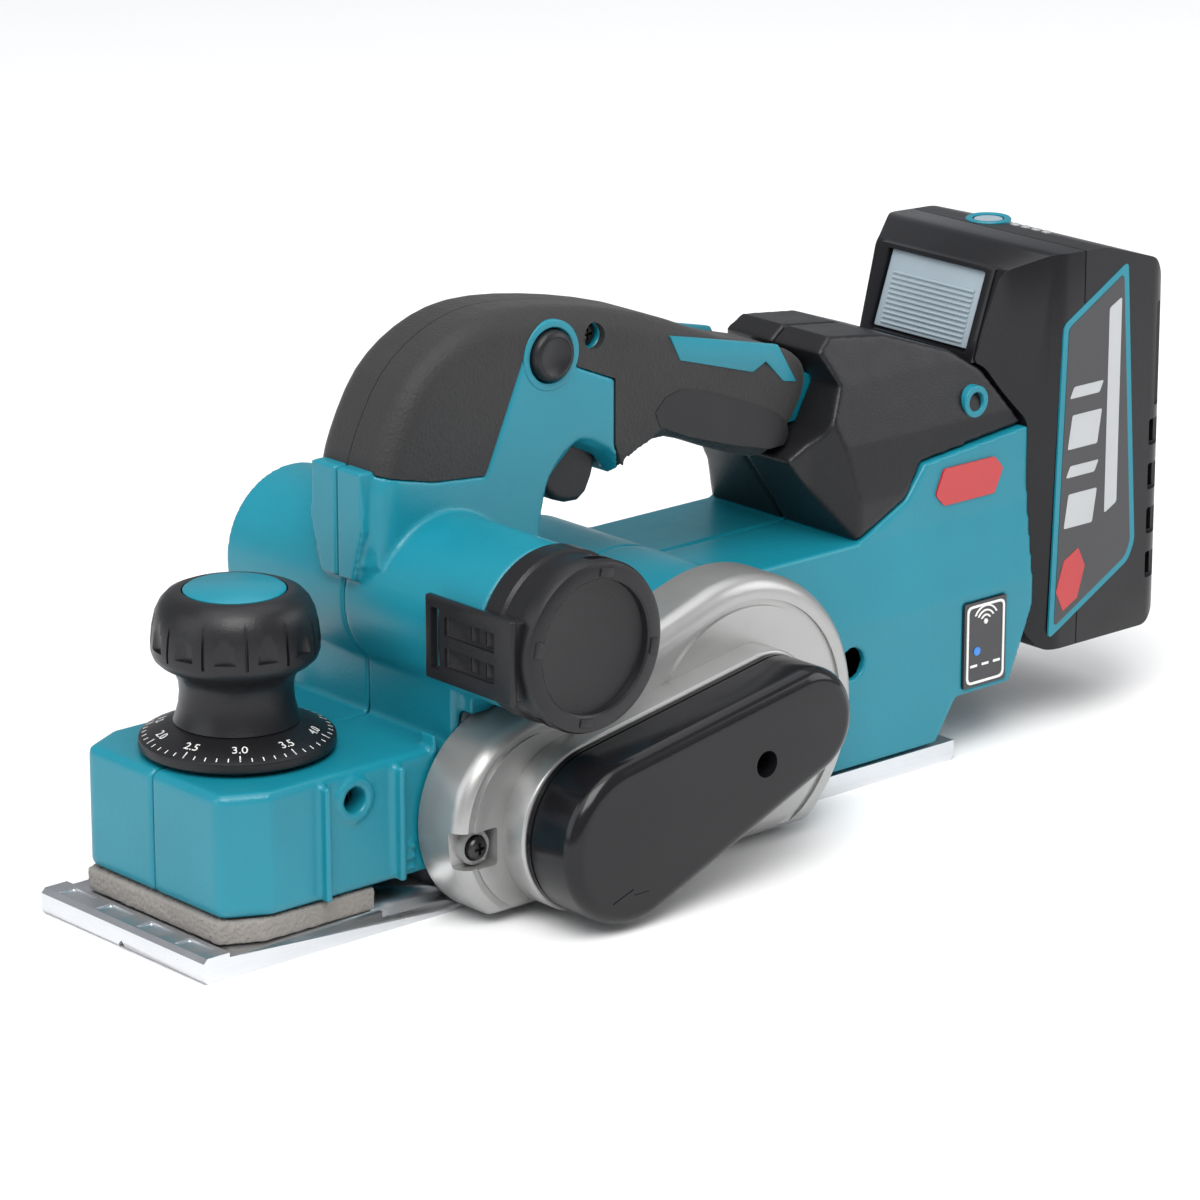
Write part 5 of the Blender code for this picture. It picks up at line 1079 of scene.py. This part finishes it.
front_shell = carve(front_shell, [frame_rim], "UNION")
front_shell = carve(front_shell, [cell_room, button_way, rail_slot])
place("pack_front_shell", front_shell, "gloss_black_plastic", "battery", ["battery_case_front"], sharp=30)

# %% Rear shell
rear_cuts = [block((SPLIT - 10, -39, FLOOR_Z + 3), (REAR - 3, 39, TOP - 11))]
for side in (-1, 1):
    y_low, y_high = between(side, HALF - 3.2, HALF + 5)
    for z in (46.0, 62.0, 78.0, 94.0):
        rear_cuts.append(block((REAR - 8.5, y_low, z), (REAR + 4, y_high, z + 9.5), 1.0))
    rear_cuts.append(block((REAR - 6.0, y_low, 108.0), (REAR + 4, y_high, 145.0), 1.0))
rear_cuts.append(rod((170.0, 14.0, TOP - 12), "Z", 20, 5.4))
rear_shell = carve(shell, [block((SPLIT + 0.25, -100, 0), (400, 100, 300))], "INTERSECT")
rear_shell = carve(rear_shell, rear_cuts)
place("pack_rear_shell", rear_shell, "black_plastic", "battery", ["battery_case_rear"], sharp=30)

# %% Release button and gauge
slope = Vector((10.5, 0, 30.0)).normalized()
first_ridge = Vector((NOSE - 18.8 + 1.0, 0, TOP - 35.5)) + slope * 5.0
ridges = copies(ROW, rod((0, -19.5, 0), "Y", 39, 0.55, 12), 11, "grey_plastic", step=slope * 1.75,
                first=first_ridge)
place("release_button", softened(solid_copy("battery_release"), 0.6), "grey_plastic", "release",
      ["battery_release"], sharp=30)
place("release_ridges", ridges, "grey_plastic", "release", sharp=40)
GAUGE = middle("gauge_button")
gauge_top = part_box("gauge_button")[1].z / MM
ring = turned([(5.5, gauge_top - 2), (5.5, gauge_top + 0.2), (6.0, gauge_top + 0.5), (7.6, gauge_top + 0.5),
               (8.0, gauge_top + 0.1), (8.0, gauge_top - 2)], (GAUGE[0], GAUGE[1], 0), "Z")
place("gauge_ring", ring, "teal_plastic", "battery", sharp=35)
lights = copies(ROW, block((-1.3, -1.1, -1.2), (1.3, 1.1, 0.35), 0.2), 4, "print_silver", step=(0, -5.0, 0.0),
                first=(GAUGE[0] + 1.5, GAUGE[1] - 11.5, gauge_top - 0.3))
place("gauge_lights", lights, "print_silver", "battery", sharp=35)

# %% Side labels
LABEL = points((150.5, 144.5), (146.5, 33.5), (185.5, 54.5), (188.5, 61.0), (181.5, 162.0))
BARS = ((152.5, 72, 166.5, 84), (153.0, 90, 167.0, 94), (153.5, 100, 168.0, 112), (154.0, 118, 168.5, 122))
TALL_BAR = points((172.5, 74), (178.5, 77), (178.5, 150), (172.5, 147))
PACK_BADGE = points((149.5, 50), (153, 42.5), (160, 46), (163.5, 57), (160, 64), (153, 60.5))
bars = [rounded(points((x0, z0), (x1, z0), (x1 + 2.0, z1), (x0 + 2.0, z1)), 0.8) for x0, z0, x1, z1 in BARS]
bars.append(rounded(TALL_BAR, 1.0))
for name, side in SIDES:
    stripes = joined(*(plate(bar, side * HALF, side, -0.2, 0.48) for bar in bars))
    for piece, solid, finish_name in (
            ("label_rim", plate(rounded(LABEL, 2.5), side * HALF, side, 0.5, 0.25), "teal_plastic"),
            ("label", plate(rounded(inset(LABEL, 2.4), 2.0), side * HALF, side, 0.5, 0.40), "panel_film"),
            ("label_stripes", stripes, "print_silver"),
            ("badge", plate(PACK_BADGE, side * HALF, side, -0.2, 0.52), "badge_red")):
        place(f"pack_{piece}_{name}", solid, finish_name, "battery", sharp=35)

# %% [markdown]
# ## Rear collar
# A soft black shell wraps the join between the handle and the battery.  The working solids are melted
# with more relaxing, so that their facets turn into the shell's slack folds.

# %% Rear collar
for name, side in SIDES:
    place(f"rear_collar_{name}", melt(solid_copy(f"rear_cover_{name}"), 0.8, 8, 60000), "black_plastic",
          "planer", [f"rear_cover_{name}"])
    boss = tube(5.6, 3.3, *between(side, 27.0, 33.0), 118.5, 121.5)
    place(f"collar_boss_{name}", softened(boss, 0.5), "teal_plastic", "planer", sharp=35)

# %% [markdown]
# ## Screws, buttons and small marks
# The screw heads are one turned and cross-cut shape set at each post.  Buttons are turned or melted,
# and the printed marks are thin plates.

# %% Screw heads
def screw_head(x, y, z):
    head = turned([(3.7, 0.4), (3.7, -0.5), (3.2, -1.1), (2.0, -1.5), (0, -1.6), (0, 0.4)], (x, y, z), "Y",
                  48)
    cross = [block((x - 0.5, y - 4, z - 2.0), (x + 0.5, y - 0.3, z + 2.0)),
             block((x - 2.0, y - 4, z - 0.5), (x + 2.0, y - 0.3, z + 0.5))]
    return carve(head, cross)


for node in ("handle_screw_front", "handle_screw_rear", "handle_screw_pillar", "belt_casting_screw",
             "belt_cover_screw"):
    spot = middle(node)
    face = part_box(node)[0].y / MM
    place(f"{node}_head", screw_head(spot[0], face - 0.3, spot[2]), "black_steel", "planer", sharp=30)

# %% Trigger and lock button
place("trigger_lever", melt(solid_copy("trigger"), 0.45, 5, 40000), "black_plastic", "trigger", ["trigger"])
lock_face, lock_end = (corner.y for corner in corners_of("lock_off_button"))
lock = turned([(5.0, lock_end), (5.0, -7.0), (8.3, -7.0), (8.4, lock_face + 2.0), (8.1, lock_face + 0.9),
               (7.3, lock_face + 0.25), (6.4, lock_face), (5.8, lock_face + 0.5), (0, lock_face + 0.7),
               (0, lock_end)], (LOCK[0], 0, LOCK[2]), "Y")
place("lock_button", lock, "black_plastic", "lock_button", ["lock_off_button"], sharp=40)
for name, side in SIDES:
    rim = tube(11.6, 9.1, *between(side, 15.5, 17.75), LOCK[0], LOCK[2])
    place(f"lock_rim_{name}", softened(rim, 0.4), "teal_plastic", "planer", sharp=35)

# %% Side panel and badge
PANEL_LOW, PANEL_HIGH = corners_of("wireless_panel")
px0, px1, pz0, pz1 = PANEL_LOW[0], PANEL_HIGH[0], PANEL_LOW[2], PANEL_HIGH[2]
outer = points((px0 + 1, pz0 + 1), (px1 - 1, pz0 + 1), (px1 - 1, pz1 - 1), (px0 + 1, pz1 - 1))
panel_face = PANEL_LOW[1]
rim = carve(slab(rounded(outer, 2.5), panel_face - 0.35, panel_face + 0.5),
            [slab(rounded(inset(outer, 0.8), 2.0), -200, 100)])
place("panel_rim", rim, "print_white", "planer", sharp=35)
px, pz = (px0 + px1) / 2, (pz0 + pz1) / 2
signs = [rod((px, panel_face - 0.3, pz + 7.5), "Y", 1.0, 0.9, 24)]
for radius in (2.6, 4.3, 6.0):
    wave = tube(radius, radius - 0.6, panel_face - 0.3, panel_face + 0.4, px, pz + 7.5, 48)
    below = block((px - 20, -200, pz - 20), (px + 20, 200, pz + 7.5 + radius * 0.45))
    signs.append(carve(wave, [below]))
for x in (px - 5.5, px, px + 5.5):
    signs.append(block((x - 1.6, panel_face - 0.3, pz - 8.0), (x + 1.6, panel_face + 0.4, pz - 7.2)))
place("panel_signs", joined(*signs), "print_white", "planer", sharp=35)
lamp = rod((px - 4.0, panel_face - 0.35, pz - 2.5), "Y", 1.0, 1.5, 32)
place("panel_lamp", lamp, "mark_blue", "planer", sharp=35)
hexagon = points((95, 94), (99, 89.7), (123, 89.7), (127, 98), (123, 102.5), (99, 102.5))
for name, side in SIDES:
    badge = slab(rounded(hexagon, 1.0), *between(side, 36.0, 37.75))
    place(f"side_badge_{name}", badge, "badge_red", "planer", sharp=35)
